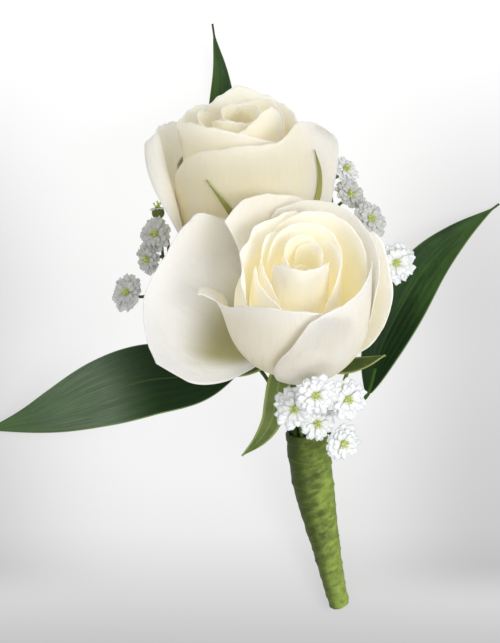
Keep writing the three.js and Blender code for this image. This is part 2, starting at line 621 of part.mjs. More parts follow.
addRose('front_rose', FRONT_HEAD, FRONT_PETALS, (frame) => calyx(frame, [
  freeSepal({ turn: 85, spine: [[2, -1.6], [7, -2.2], [12, -1], [16, 2], [19.2, 5.6]], width: 2.6 }),
  hangingSepal(frame, { line: [[9.9, -9.9, 24.6], [8.3, -12.8, 25.2], [7.5, -17, 23.4],
    [6.6, -21.4, 20.2], [4.2, -25.4, 17], [0.6, -28.8, 14.6]], halfWidth: 2.3, fold: 0.3 }),
  freeSepal({ turn: 150, spine: [[2, -1.6], [7, -2.2], [11, -0.8], [14.5, 2.4]], width: 2.4 }),
  freeSepal({ turn: 205, spine: [[2, -1.6], [7, -2], [11, -0.4], [14, 3]], width: 2.4 }),
  freeSepal({ turn: 280, spine: [[2, -1.6], [6, -4], [9, -6.5], [12, -8]], width: 2.4 }),
], [[10.1, -11.4, 22.6], [11.2, -16.5, 18.6], ...handlePlaces(IN_HANDLE.frontRose)],
FRONT_STEM_RADIUS));

addRose('back_rose', BACK_HEAD, BACK_PETALS, (frame) => calyx(frame, [
  layingSepal({ petal: BACK_PETALS[10],
    path: [[-0.05, 0.06], [-0.14, 0.35], [-0.24, 0.6], [-0.4, 0.8]], halfWidth: 1.3, rows: 8,
    extraLift: 0.12, footLift: 0.7 }),
  layingSepal({ petal: BACK_PETALS[10],
    path: [[0.2, 0.08], [0.44, 0.4], [0.52, 0.6], [0.56, 0.8]], halfWidth: 1.2, rows: 8,
    extraLift: 0.5 }),
  layingSepal({ petal: BACK_PETALS[12], path: [[0, 0.12], [0.05, 0.35], [0.05, 0.62]],
    halfWidth: 1.2, extraLift: 0.2, footLift: 3.4 }),
  layingSepal({ petal: BACK_PETALS[11], path: [[0.1, 0.12], [0.05, 0.35], [0, 0.62]],
    halfWidth: 1.2, extraLift: 0.2, footLift: 2.4 }),
  freeSepal({ turn: 235, spine: [[2, -1.8], [4, -3.2], [4.8, -7], [4.4, -11]], width: 2 }),
], [[3.9, 3.4, 8.4], [6.2, -6, 8.6], [9.6, -15.6, 10], ...handlePlaces(IN_HANDLE.backRose)],
BACK_STEM_RADIUS));

const LEAVES = {
  leaf_left: {
    blade: { line: [[0.6, -8.8, 14.2], [-3.8, -10.6, 15], [-9, -12.1, 15], [-18.8, -13.1, 13.5],
      [-28, -15.7, 10.5], [-38.3, -19.6, 6.5], [-45.5, -22, 3.2], [-55.7, -24.4, 0.3]],
    halfWidth: 7.6, fold: 0.16, roll: 6, wave: 0.3 },
    stalk: [[4.6, -8.6, 13.4], [8.4, -12.6, 13.6], [10.3, -17.2, 15.2],
      ...handlePlaces(IN_HANDLE.leafLeft)],
  },
  leaf_right: {
    blade: { line: [[26.9, -15.6, 13], [29.4, -7.2, 13.5], [33.2, 1.1, 12.5], [39, 10.4, 9.5],
      [45.8, 17.2, 5.8], [55.4, 24.2, 0.3]],
    halfWidth: 5.2, fold: 0.3, roll: -4, wave: 0.25 },
    stalk: [[24.6, -18, 13], [20.6, -19.6, 13.8], ...handlePlaces(IN_HANDLE.leafRight)],
  },
  leaf_top: {
    blade: { line: [[2.4, 6, 3.2], [0.4, 12.6, 1.4], [-1.4, 21, 0.24], [-2.6, 32, 0.24],
      [-3.5, 42, 0.9], [-4.1, 52.4, 3], [-5.2, 58.7, 4.6], [-5.7, 62.1, 5.6]],
    halfWidth: 4.7, fold: 0.04 },
    stalk: [[4.6, 0.6, 4.4], [8.6, -9.6, 6.6], [12, -18, 9.4], ...handlePlaces(IN_HANDLE.leafTop)],
  },
};

for (const [name, { blade, stalk }] of Object.entries(LEAVES)) {
  boutonniere.add(toMesh(name, pressedFlat(leafWithStalk(blade, stalk)), LEAF_COLOUR, 0.45));
}

const SPRAYS = {
  spray_front: {
    stem: [...handlePlaces(IN_HANDLE.sprayFront)].reverse(), fork: [13.8, -21.6, 20.5],
    florets: [
      { at: [15.1, -15.2, 48.6], facing: [0, -0.25, 1], radius: 3.9, spin: 0,
        via: [[14.4, -18.8, 30], [14.9, -18, 39]] },
      { at: [11.2, -18.2, 38.9], facing: [-0.25, -0.2, 1], radius: 4.2, spin: 25 },
      { at: [15.8, -21.2, 33], facing: [0.05, -0.35, 1], radius: 3.6, spin: 50 },
      { at: [21.6, -16.3, 38], facing: [0.4, -0.15, 1], radius: 3.9, spin: 10 },
      { at: [21.1, -25.6, 25.5], facing: [0.45, -0.35, 1], radius: 3.7, spin: 30 },
    ],
  },
  spray_left: {
    stem: [...handlePlaces(IN_HANDLE.sprayLeft)].reverse().concat([[7.9, -18.2, 11.9], [6.2, -13.6, 10.3],
      [1.8, -8.2, 9.6], [-8, -0.6, 9]]),
    fork: [-15.2, 5.6, 10.5],
    florets: [
      { at: [-17.3, 17.3, 14.6], facing: [-0.5, 0.25, 0.8], radius: 3.6, spin: 0 },
      { at: [-18.9, 12.2, 14], facing: [-0.7, -0.1, 0.7], radius: 3.2, spin: 30 },
      { at: [-23.3, 5.2, 12.6], facing: [-0.6, 0.2, 0.8], radius: 3.7, spin: 15 },
    ],
    buds: [{ at: [-17, 21.9, 11.4], radius: 1.35 }],
  },
  spray_right: {
    stem: [...handlePlaces(IN_HANDLE.sprayRight)].reverse().concat([[21.5, -14, 15.6]]),
    fork: [24.4, -2.4, 17],
    florets: [
      { at: [31.8, 11, 27.2], facing: [0.3, 0.1, 1], radius: 4.3, spin: 0 },
      { at: [26.8, 20, 23], facing: [0.55, 0.4, 0.75], radius: 3.8, spin: 20 },
      { at: [22.8, 25.2, 19.2], facing: [0.5, 0.5, 0.7], radius: 3.4, spin: 40 },
      { at: [21.9, 30.6, 15.2], facing: [0.6, 0.5, 0.6], radius: 3, spin: 10 },
    ],
  },
};

for (const [name, values] of Object.entries(SPRAYS)) {
  boutonniere.add(toMesh(name, spray(values), FLORET_COLOUR, 0.6));
}

boutonniere.add(toMesh('stem_tape', pressedFlat(tape()), TAPE_COLOUR, 0.7));

export default boutonniere;
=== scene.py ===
"""A boutonniere lying on its back: two cream spray roses, three leaves, white florets and tape.

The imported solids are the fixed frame. Every node is replaced by finer pieces that lie in the
same place. They are grown from their solid's measures, in millimetres, but a few petals and
sepals have measures of their own, which bring them nearer to the photo.
"""

import json
import logging
import math
from dataclasses import dataclass, replace
from enum import Enum
from typing import Callable, Iterable, Mapping, Sequence, Union

import bpy
import numpy as np
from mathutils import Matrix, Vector

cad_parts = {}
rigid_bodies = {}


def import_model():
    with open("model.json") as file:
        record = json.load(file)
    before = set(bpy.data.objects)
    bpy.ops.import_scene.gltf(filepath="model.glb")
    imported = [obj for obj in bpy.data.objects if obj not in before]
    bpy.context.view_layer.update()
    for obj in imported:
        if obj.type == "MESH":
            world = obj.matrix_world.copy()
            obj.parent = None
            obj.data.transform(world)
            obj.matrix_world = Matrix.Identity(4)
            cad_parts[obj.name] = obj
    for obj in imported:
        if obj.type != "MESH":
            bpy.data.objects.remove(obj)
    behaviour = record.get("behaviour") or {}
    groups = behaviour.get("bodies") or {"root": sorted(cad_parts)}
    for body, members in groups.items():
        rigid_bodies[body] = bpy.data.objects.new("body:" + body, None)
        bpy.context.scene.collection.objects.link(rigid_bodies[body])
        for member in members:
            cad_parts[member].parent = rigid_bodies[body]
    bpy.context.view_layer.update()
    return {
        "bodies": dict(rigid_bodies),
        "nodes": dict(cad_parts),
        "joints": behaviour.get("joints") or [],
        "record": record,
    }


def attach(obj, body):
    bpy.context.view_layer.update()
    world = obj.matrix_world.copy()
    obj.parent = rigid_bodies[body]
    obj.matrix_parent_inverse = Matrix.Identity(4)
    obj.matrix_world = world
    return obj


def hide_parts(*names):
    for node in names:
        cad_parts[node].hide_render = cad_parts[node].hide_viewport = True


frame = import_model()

LOG = logging.getLogger("boutonniere")
MM = 0.001
BODY = "root"
TINY = 1e-9

Points = np.ndarray
Share = Union[float, np.ndarray]
Colour = tuple[float, float, float]
Spot = tuple[float, float, float]
Path = tuple[Spot, ...]
FlatPath = tuple[tuple[float, float], ...]


# Curves.


def unit(vectors: Points) -> Points:
    """Returns the vectors at length one."""
    return vectors / np.maximum(np.linalg.norm(vectors, axis=-1, keepdims=True), TINY)


def lengthened(given: Points) -> Points:
    """Returns a row of values with one more before it and one after it, straight on."""
    return np.concatenate([[2 * given[0] - given[1]], given, [2 * given[-1] - given[-2]]])


def bend(low: Points, high: Points, start: Points, end: Points, share: Share) -> Points:
    """Returns places on the smooth curve between two points.

    Args:
        low: The point that it leaves.
        high: The point that it reaches.
        start: Its slope where it leaves.
        end: Its slope where it arrives.
        share: How far along the places are, from 0 to 1.

    Returns:
        The places.
    """
    return (
        (2 * low - 2 * high + start + end) * share**3
        + (3 * high - 3 * low - 2 * start - end) * share**2
        + start * share
        + low
    )


def profile(values: Sequence[float], place: Share) -> Points:
    """Reads a smooth profile given by values at even steps.

    Args:
        values: The profile's values from its first end to its last.
        place: Where to read it, from 0 to 1.

    Returns:
        The values there.
    """
    count = len(values) - 1
    scaled = np.clip(np.asarray(place, float), 0, 1) * count
    first = np.minimum(scaled.astype(int), count - 1)
    given = lengthened(np.array(values, float))
    a, b, c, d = (given[first + step] for step in range(4))
    return bend(b, c, (c - a) / 2, (d - b) / 2, scaled - first)


def ripple(across: Points, along: Points, seed: float) -> Points:
    """Returns a gentle, irregular swell over a blade.

    Args:
        across: Places from one edge, -1, to the other, 1.
        along: Places from the foot, 0, to the rim, 1.
        seed: What the swell starts from.

    Returns:
        Values between about -1 and 1.
    """
    return (
        0.45 * np.sin(3.1 * across + 1.7 * along + 2.3 * seed)
        + 0.3 * np.sin(5.3 * across - 3.9 * along + 4.1 * seed)
        + 0.25 * np.sin(8.7 * across + 6.1 * along - 1.9 * seed)
    )


def placed(points: Points, origin: Sequence[float], frame: Sequence[Points]) -> Points:
    """Moves points of a local frame into the frame of the bunch.

    Args:
        points: The points, by their distances in the three directions of the frame.
        origin: Where the frame starts.
        frame: Its three directions.

    Returns:
        The points in the bunch.
    """
    first, second, third = frame
    parts = points[..., 0:1] * first + points[..., 1:2] * second + points[..., 2:3] * third
    return np.array(origin) + parts


def circle(sides: int) -> Points:
    """Returns evenly spaced angles round a full turn."""
    return np.linspace(0, 2 * math.pi, sides, endpoint=False)


class Spine:
    """A smooth line through evenly weighted points, read by its share of the whole length."""

    samples = 65

    def __init__(self, points: Sequence[Sequence[float]]) -> None:
        """Samples the line.

        Args:
            points: The places that the line passes through.
        """
        given = lengthened(np.array(points, float))
        share = np.linspace(0, 1, self.samples)[:, None]
        pieces = []
        for a, b, c, d in zip(given, given[1:], given[2:], given[3:]):
            pieces.append(bend(b, c, *self._slopes(a, b, c, d), share))
        self.line = np.vstack(pieces)
        spans = np.linalg.norm(np.diff(self.line, axis=0), axis=1)
        self.length = max(float(spans.sum()), TINY)
        self.shares = np.concatenate([[0.0], np.cumsum(spans)]) / self.length

    def _slopes(self, a: Points, b: Points, c: Points, d: Points) -> tuple[Points, Points]:
        """Returns the slopes at b and at c of the stretch between them."""
        return (c - a) / 2, (d - b) / 2

    def _read(self, share: Share) -> Points:
        """Returns the sampled line's points at these shares."""
        return np.stack([np.interp(share, self.shares, axis) for axis in self.line.T], -1)

    def at(self, share: Share) -> Points:
        """Returns points of the line, which runs straight on past its end.

        Args:
            share: The points' shares of its length.

        Returns:
            The points.
        """
        held = np.clip(share, 0, 1)
        past = np.maximum(np.asarray(share) - 1, 0)[..., None]
        return self._read(held) + self.along(held) * past * self.length

    def along(self, share: Share) -> Points:
        """Returns the unit directions of the line.

        Args:
            share: The shares of its length to read them at.

        Returns:
            The directions.
        """
        step = 0.01
        before, after = (
            self._read(np.clip(np.asarray(share) + side, 0, 1)) for side in (-step, step)
        )
        return unit(after - before)


class Route(Spine):
    """A smooth line through points in space whose bends follow the distances between them."""

    samples = 49

    def _slopes(self, a: Points, b: Points, c: Points, d: Points) -> tuple[Points, Points]:
        """Finds the slopes of the stretch between two points.

        Args:
            a: The point before the stretch.
            b: The point where it starts.
            c: The point where it ends.
            d: The point after it.

        Returns:
            The slopes at its start and at its end.
        """
        before, span, after = (
            max(float(np.linalg.norm(high - low)) ** 0.5, 1e-4)
            for low, high in ((a, b), (b, c), (c, d))
        )
        start = ((b - a) / before - (c - a) / (before + span) + (c - b) / span) * span
        end = ((c - b) / span - (d - b) / (span + after) + (d - c) / after) * span
        return start, end


# Meshes.


def show(name: str, data: bpy.types.ID) -> bpy.types.Object:
    """Puts a mesh, a light or a camera into the scene.

    Args:
        name: The object's name.
        data: The mesh, the light or the camera.

    Returns:
        The object.
    """
    made = bpy.data.objects.new(name, data)
    bpy.context.scene.collection.objects.link(made)
    return made


class Draft:
    """A mesh in the making: points in millimetres, faces, and readings kept at each point."""

    def __init__(self) -> None:
        """Starts with nothing in it."""
        self.points: list[Points] = []
        self.faces: list[list[int]] = []
        self.readings: list[dict[str, Points]] = []
        self.count = 0

    def add(self, points: Points, faces: Iterable[Sequence[int]], **readings: object) -> None:
        """Adds one closed skin.

        Args:
            points: Its points, one to a row.
            faces: Its faces, as rows of those points.
            readings: A number for the whole skin, or one for each point.
        """
        self.faces += [[self.count + corner for corner in face] for face in faces]
        self.readings.append(
            {
                name: np.broadcast_to(np.asarray(value, float).ravel(), (len(points),))
                for name, value in readings.items()
            }
        )
        self.points.append(points)
        self.count += len(points)

    def add_sheet(
        self, grid: Points, thickness: Share, across: Points, along: Points, **readings: object
    ) -> None:
        """Adds a blade about a grid of middle points.

        Args:
            grid: Middle points, as rows along the blade and columns across it.
            thickness: The blade's thickness at each of them, or everywhere.
            across: The place of each column, kept as a reading.
            along: The place of each row, kept as a reading.
            readings: What else is kept, for each point or for the whole.
        """
        rows, columns = grid.shape[:2]
        size = rows * columns
        normal = unit(np.cross(np.gradient(grid, axis=1), np.gradient(grid, axis=0)))
        half = np.broadcast_to(np.asarray(thickness, float), (rows, columns))[..., None] / 2
        upper, lower = grid + normal * half, grid - normal * half
        place = np.arange(size).reshape(rows, columns)
        a, b = place[:-1, :-1].ravel(), place[:-1, 1:].ravel()
        c, d = place[1:, 1:].ravel(), place[1:, :-1].ravel()
        faces = list(zip(a, b, c, d))
        faces += list(zip(d + size, c + size, b + size, a + size))
        rim = [*place[0, :-1], *place[:-1, -1], *place[-1, :0:-1], *place[:0:-1, 0]]
        for near, far in zip(rim, rim[1:] + rim[:1]):
            faces.append((far, near, near + size, far + size))
        kept = {
            name: np.tile(np.broadcast_to(value, (rows, columns)).ravel(), 2)
            for name, value in {"across": across, "along": along[:, None], **readings}.items()
        }
        kept["inner"] = np.repeat((0.0, 1.0), size)
        self.add(np.vstack([upper.reshape(-1, 3), lower.reshape(-1, 3)]), faces, **kept)

    def add_skin(self, rings: Points, **readings: object) -> None:
        """Adds a closed skin over rings of points, with a fan over each end.

        Args:
            rings: The rings, each with the same count of points.
            readings: What is kept, for each ring and point, or for the whole.
        """
        count, sides = rings.shape[:2]
        place = np.arange(count * sides).reshape(count, sides)
        turned = np.roll(place, -1, axis=1)
        foot, tip = count * sides, count * sides + 1
        corners = (place[:-1], turned[:-1], turned[1:], place[1:])
        faces = list(zip(*(corner.ravel() for corner in corners)))
        faces += [(foot, b, a) for a, b in zip(place[0], turned[0])]
        faces += [(tip, a, b) for a, b in zip(place[-1], turned[-1])]
        points = np.vstack([rings.reshape(-1, 3), rings[0].mean(0), rings[-1].mean(0)])
        kept = {}
        for name, value in readings.items():
            spread = np.broadcast_to(value, (count, sides))
            kept[name] = np.concatenate([spread.ravel(), [spread[0, 0], spread[-1, 0]]])
        self.add(points, faces, **kept)

    def add_bar(
        self,
        route: Spine,
        radius: Union[float, Callable[[float], float]],
        sides: int = 12,
        count: int = 60,
        **readings: object,
    ) -> None:
        """Adds a round bar along a route.

        Args:
            route: Its middle line.
            radius: Its radius, or a function that gives it at a share of the way.
            sides: How many points go round it.
            count: How many rings go along it.
            readings: What is kept for the whole bar.
        """
        share = np.linspace(0, 1, count)
        angle = circle(sides)[:, None]
        rings = []
        side = None
        for place, centre, along in zip(share, route.at(share), route.along(share)):
            if side is None:
                side = np.cross(along, (0.3, 0.2, 1.0))
            side = unit(side - along * np.dot(side, along))
            up = np.cross(along, side)
            size = float(radius(place) if callable(radius) else radius)
            rings.append(centre + size * (np.cos(angle) * side + np.sin(angle) * up))
        kept = {"across": 0.0, "along": share[:, None], "inner": 0.0, **readings}
        self.add_skin(np.array(rings), **kept)

    def piece(self, name: str, finish: bpy.types.Material, slot: str, node: str) -> None:
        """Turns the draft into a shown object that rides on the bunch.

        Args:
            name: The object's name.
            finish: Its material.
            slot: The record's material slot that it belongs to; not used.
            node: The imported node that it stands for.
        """
        mesh = bpy.data.meshes.new(name)
        mesh.from_pydata((np.vstack(self.points) * MM).tolist(), [], self.faces)
        for reading in sorted({name for kept in self.readings for name in kept}):
            values = [
                kept.get(reading, np.zeros(len(points)))
                for kept, points in zip(self.readings, self.points)
            ]
            layer = mesh.attributes.new(reading, "FLOAT", "POINT")
            layer.data.foreach_set("value", np.concatenate(values).astype(np.float32))
        mesh.polygons.foreach_set("use_smooth", [True] * len(mesh.polygons))
        mesh.materials.append(finish)
        mesh.update()
        shown = show(name, mesh)
        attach(shown, BODY)
        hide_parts(node)
        LOG.info("%s: %d faces", name, len(mesh.polygons))


# Shader maths.


class Socket:
    """An output of a shader node that is used as a value in Python expressions."""

    def __init__(self, shader: "Shader", output: bpy.types.NodeSocket) -> None:
        """Keeps the output and the shader it belongs to.

        Args:
            shader: The shader that holds the node.
            output: The node's output.
        """
        self.shader = shader
        self.output = output

    def _math(self, operation: str, first: object, second: object = 0.0) -> "Socket":
        """Returns a Math node's result on two values."""
        inputs = {0: first, 1: second}
        return self.shader.node("ShaderNodeMath", {"operation": operation}, inputs)

    def __add__(self, other: object) -> "Socket":
        """Returns the sum."""
        return self._math("ADD", self, other)

    def __radd__(self, other: object) -> "Socket":
        """Returns the sum."""
        return self._math("ADD", other, self)

    def __sub__(self, other: object) -> "Socket":
        """Returns the difference."""
        return self._math("SUBTRACT", self, other)

    def __rsub__(self, other: object) -> "Socket":
        """Returns the difference."""
        return self._math("SUBTRACT", other, self)

    def __mul__(self, other: object) -> "Socket":
        """Returns the product."""
        return self._math("MULTIPLY", self, other)

    def __rmul__(self, other: object) -> "Socket":
        """Returns the product."""
        return self._math("MULTIPLY", other, self)

    def __pow__(self, other: object) -> "Socket":
        """Returns the power."""
        return self._math("POWER", self, other)

    def __rpow__(self, other: object) -> "Socket":
        """Returns the power."""
        return self._math("POWER", other, self)

    def __abs__(self) -> "Socket":
        """Returns the size without its sign."""
        return self._math("ABSOLUTE", self)

    def sine(self) -> "Socket":
        """Returns the sine."""
        return self._math("SINE", self)

    def cosine(self) -> "Socket":
        """Returns the cosine."""
        return self._math("COSINE", self)

    def ramp(self, low: float, high: float) -> "Socket":
        """Makes a soft step of the value.

        Args:
            low: Where the step starts.
            high: Where it ends.

        Returns:
            0 at low, 1 at high, and a soft rise between them.
        """
        return self.shader.node(
            "ShaderNodeMapRange",
            {"interpolation_type": "SMOOTHSTEP", "clamp": True},
            {"Value": self, "From Min": low, "From Max": high},
        )


class Shader:
    """A node material in the making."""

    def __init__(self, name: str) -> None:
        """Starts a material with a plain surface.

        Args:
            name: The material's name.
        """
        self.material = bpy.data.materials.new(name)
        self.material.use_nodes = True
        self.tree = self.material.node_tree
        self.surface = self.tree.nodes["Principled BSDF"]

    def node(
        self,
        kind: str,
        settings: Mapping[str, object],
        inputs: Mapping[object, object],
        output: Union[int, str] = 0,
    ) -> Socket:
        """Adds a node.

        Args:
            kind: The node's type.
            settings: Its own settings, set before its sockets. "stops" gives a ramp's stops.
            inputs: A value, a colour or a socket for each of its inputs.
            output: The output to hand on.

        Returns:
            That output.
        """
        made = self.tree.nodes.new(kind)
        for name, value in settings.items():
            if name == "stops":
                self._set_stops(made.color_ramp, value)
            else:
                setattr(made, name, value)
        for name, value in inputs.items():
            self._feed(made.inputs[name], value)
        return Socket(self, made.outputs[output])

    def _feed(self, target: bpy.types.NodeSocket, value: object) -> None:
        """Links a socket to an input, or sets the input's value.

        Args:
            target: The input.
            value: A socket, a number, a vector or a colour.
        """
        if isinstance(value, Socket):
            self.tree.links.new(value.output, target)
        elif isinstance(value, tuple) and len(value) == 3 and target.type == "RGBA":
            target.default_value = (*value, 1.0)
        else:
            target.default_value = value

    @staticmethod
    def _set_stops(ramp: bpy.types.ColorRamp, stops: Sequence[tuple[float, Colour]]) -> None:
        """Gives a ramp its stops.

        Args:
            ramp: The ramp.
            stops: The place and the colour of each.
        """
        while len(ramp.elements) < len(stops):
            ramp.elements.new(0.5)
        for element, (place, colour) in zip(ramp.elements, stops):
            element.position = place
            element.color = (*colour, 1.0)

    def readings(self, *names: str) -> list[Socket]:
        """Returns numbers that are kept at the mesh's points."""
        kind = "ShaderNodeAttribute"
        return [self.node(kind, {"attribute_name": name}, {}, "Fac") for name in names]

    def place(self) -> Socket:
        """Returns the place on the object, in metres."""
        return self.node("ShaderNodeTexCoord", {}, {}, "Object")

    def noise(
        self, where: Union[Socket, tuple], scale: float, detail: float, rough: float
    ) -> Socket:
        """Returns a soft random field.

        Args:
            where: The place it is read at, as a vector or as its three numbers.
            scale: How fine it is.
            detail: How many finer layers it has.
            rough: How strong they are.

        Returns:
            Values about 0.5.
        """
        if isinstance(where, tuple):
            where = self.node("ShaderNodeCombineXYZ", {}, dict(enumerate(where)))
        inputs = {"Vector": where, "Scale": scale, "Detail": detail, "Roughness": rough}
        return self.node("ShaderNodeTexNoise", {}, inputs)

    def glaze(self, body: object, *coats: tuple[Socket, object]) -> Socket:
        """Lays coats of colour over each other.

        Args:
            body: The colour underneath.
            coats: How far each coat covers what is under it, and its colour.

        Returns:
            The colour on top.
        """
        for cover, colour in coats:
            inputs = {"Factor": cover, 6: body, 7: colour}
            body = self.node("ShaderNodeMix", {"data_type": "RGBA"}, inputs, 2)
        return body

    def bump(self, height: Socket, distance: float, strength: float) -> Socket:
        """Returns a surface normal disturbed by a height, in metres."""
        inputs = {"Height": height, "Distance": distance, "Strength": strength}
        return self.node("ShaderNodeBump", {}, inputs, "Normal")

    def finish(self, **inputs: object) -> bpy.types.Material:
        """Feeds the surface and returns the material.

        Args:
            inputs: A value or a socket for each input, named with underscores for spaces.

        Returns:
            The material.
        """
        for name, value in inputs.items():
            self._feed(self.surface.inputs[name.replace("_", " ")], value)
        return self.material


# Finishes.


@dataclass(frozen=True)
class PetalFinish:
    """Cream rose petal: yellow-green at its foot, warm within, cooler without, pale at its rim,
    with painted shade and a painted glow.
    """

    name: str
    heart: Colour = (0.95, 0.86, 0.52)
    inside: Colour = (0.94, 0.91, 0.76)
    outside: Colour = (0.84, 0.77, 0.63)
    butter: Colour = (0.97, 0.84, 0.51)
    shaded_side: Colour = (0.7, 0.67, 0.62)
    shaded_inside: Colour = (0.82, 0.82, 0.79)
    foot: Colour = (0.44, 0.41, 0.17)
    rim: Colour = (0.94, 0.92, 0.87)
    # The colour of painted shade.
    painted_shade: Colour = (0.15, 0.135, 0.04)
    pale: Colour = (0.95, 0.93, 0.82)
    glow: float = 0.22

    def material(self) -> bpy.types.Material:
        """Makes the material.

        Returns:
            The material.
        """
        shader = Shader(self.name)
        across, along, seed, inner = shader.readings("across", "along", "seed", "inner")
        heart, shade, butter = shader.readings("heart", "shade", "butter")
        lines = shader.noise((across * 7 + seed, along * 1.3, seed), 2.6, 4, 0.55)
        clouds = shader.noise((across * 1.4 + seed, along * 1.6, seed), 1.6, 4, 0.55)
        veins = shader.noise((across * 12 + seed, along * 3, seed), 2.0, 5, 0.6)
        grain = shader.noise(shader.place(), 1100, 3, 0.6)
        crumple = shader.noise(shader.place(), 190, 4, 0.5)
        # Painted shade: petals that lie in the shade of their neighbours are greyer and darker
        # within.
        within = shader.glaze(self.inside, (heart, self.heart), (shade, self.shaded_inside))
        # Painted shade: the yellower rose's petals are greyer and darker towards one edge of their
        # outside.
        shaded_side = across.ramp(0.4, 0.85) * butter
        without = shader.glaze(self.outside, (butter, self.butter), (shaded_side, self.shaded_side))
        # The open petal lies in shade low down, but not along its free side.
        clear = 1 - across.ramp(0.58, 0.87) * shade
        upper = (1 - across.ramp(-0.5, 0.1)) * shade.ramp(0.5, 0.9)
        dark = shade * (1 - along.ramp(0.3, 0.72)) * (1 - upper * 0.7)
        # Yellow-green towards the foot: partly the petals' own colour, partly painted shade low in
        # the rose.
        low_part = (1 - along.ramp(0.02, 0.6)) * (0.9 - heart * 0.6)
        # Painted shade in the hollows of the yellower rose: on its inner faces and between its
        # heart and its cup.
        ring = heart.ramp(0.1, 0.7)
        hollow_shade = inner * (1 - heart * 0.95) * 0.16 + ring * (1 - heart.ramp(0.75, 1.0)) * 0.14
        body = shader.glaze(
            without,
            (inner * 0.75 + heart * 0.25, within),
            (clouds.ramp(0.45, 0.75) * 0.3, self.rim),
            (dark * clear, self.painted_shade),
            (low_part * clear, self.foot),
            (butter * hollow_shade, self.painted_shade),
            (lines.ramp(0.52, 0.8) * (1 - along.ramp(0.2, 0.9)) * 0.4, self.foot),
            (along.ramp(0.78, 1.0) * (0.6 - butter * 0.4), self.rim),
            (veins.ramp(0.5, 0.75) * 0.05, self.foot),
        )
        # Painted glow in place of light come through the thin petals: an emission, deeper where
        # they stand close, in the ring about the heart and on the open inner faces, most on the
        # unshaded guard petal's.
        low = 1 - along.ramp(0.45, 1.0) * 0.9
        open_face = inner * (1 - shade) * (1 - butter * 0.95)
        warm = ring * (1 - heart.ramp(0.75, 1.0) * 0.35) * (1 - butter * 0.2)
        guard_glow = (1 - heart.ramp(0.0, 0.06)) * 0.8
        deep = warm * (0.4 + low * 0.6) + open_face * (0.2 + low * 0.25 + guard_glow)
        glow_colour = shader.glaze(self.pale, (low, self.heart))
        return shader.finish(
            Base_Color=body,
            Roughness=0.5 + grain * 0.14,
            Subsurface_Weight=0.7,
            Subsurface_Radius=(0.003, 0.0029, 0.0026),
            Subsurface_Scale=1.0,
            Specular_IOR_Level=0.28,
            Emission_Color=shader.glaze((0.0, 0.0, 0.0), (deep, glow_colour)),
            Emission_Strength=self.glow,
            Normal=shader.bump(
                lines * 0.3 + veins * 0.1 + grain * 0.08 + crumple * 1.7, 0.0005, 0.5
            ),
        )


@dataclass(frozen=True)
class GreenFinish:
    """Fresh green of the sepals, hips and stems, with pale edges, fine lines and painted light
    where laid sepals are lit.
    """

    name: str
    deep: Colour = (0.05, 0.09, 0.018)
    fresh: Colour = (0.14, 0.19, 0.05)
    pale: Colour = (0.38, 0.43, 0.15)
    olive: Colour = (0.38, 0.36, 0.09)

    def material(self) -> bpy.types.Material:
        """Makes the material.

        Returns:
            The material.
        """
        shader = Shader(self.name)
        across, along, seed, inner = shader.readings("across", "along", "seed", "inner")
        (lit,) = shader.readings("lit")
        lines = shader.noise((across * 7 + seed, along * 2.5, seed), 3.2, 4, 0.6)
        patches = shader.noise(shader.place(), 160, 4, 0.55)
        midrib = 1 - abs(across).ramp(0.0, 0.12)
        body = shader.glaze(
            self.deep,
            (patches.ramp(0.3, 0.72), self.fresh),
            (lines.ramp(0.45, 0.8) * 0.5, self.fresh),
            # Painted light: lit sepals are painted a paler olive.
            (lit * (0.7 + lines * 0.3), self.olive),
            (inner * 0.12, self.pale),
            (abs(across).ramp(0.7, 0.98) * 0.75, self.pale),
            (midrib * inner * 0.4, self.pale),
        )
        return shader.finish(
            Base_Color=body,
            Roughness=0.5 + patches * 0.15,
            Subsurface_Weight=0.08,
            Subsurface_Radius=(0.0012, 0.0018, 0.0006),
            Subsurface_Scale=1.0,
            Specular_IOR_Level=0.18,
            Normal=shader.bump(lines * 0.7 + patches * 0.3, 0.0003, 0.5),
        )


@dataclass(frozen=True)
class LeafFinish:
    """Leathery dark green blade with fine lengthwise veins, a pale edge, a painted grey sheen,
    painted light and painted shade.
    """

    name: str
    dark: Colour = (0.008, 0.026, 0.006)
    mid: Colour = (0.028, 0.074, 0.014)
    bright: Colour = (0.085, 0.18, 0.026)
    edge: Colour = (0.22, 0.3, 0.12)
    sheen: Colour = (0.15, 0.21, 0.135)

    def material(self) -> bpy.types.Material:
        """Makes the material.

        Returns:
            The material.
        """
        shader = Shader(self.name)
        across, along, seed = shader.readings("across", "along", "seed")
        lit, haze = shader.readings("lit", "haze")
        veins = shader.noise((across * 12 + along * 2, along * 2.2, seed), 2.2, 5, 0.7)
        fine = shader.noise((across * 34, along * 6, seed), 2.0, 3, 0.6)
        cloud = shader.noise((along * 3.4, across * 1.2, seed), 1.5, 4, 0.6)
        midrib = 1 - abs(across).ramp(0.0, 0.035)
        body = shader.glaze(
            self.dark,
            (cloud.ramp(0.3, 0.7), self.mid),
            # Painted light: the lit side and the tip are brighter green.
            (lit * veins.ramp(0.3, 0.6), self.bright),
            # Painted sheen: a grey highlight painted into the colour, strongest where the coat is
            # glossiest.
            (haze * (0.4 + veins.ramp(0.3, 0.75) * 0.45), self.sheen),
            (fine.ramp(0.5, 0.8) * 0.14, self.bright),
            # Painted shade: the blade darkens towards its foot, which lies under the roses.
            ((1 - along.ramp(0.26, 0.5)) * 0.94, self.dark),
            (midrib * 0.3, self.bright),
            (abs(across).ramp(0.965, 1.0) * 0.8, self.edge),
        )
        return shader.finish(
            Base_Color=body,
            Roughness=0.42 + veins * 0.14,
            Specular_IOR_Level=0.1,
            Coat_Weight=haze * 0.3,
            Coat_Roughness=0.3,
            Normal=shader.bump(veins * 0.7 + fine * 0.3, 0.0003, 0.5),
        )


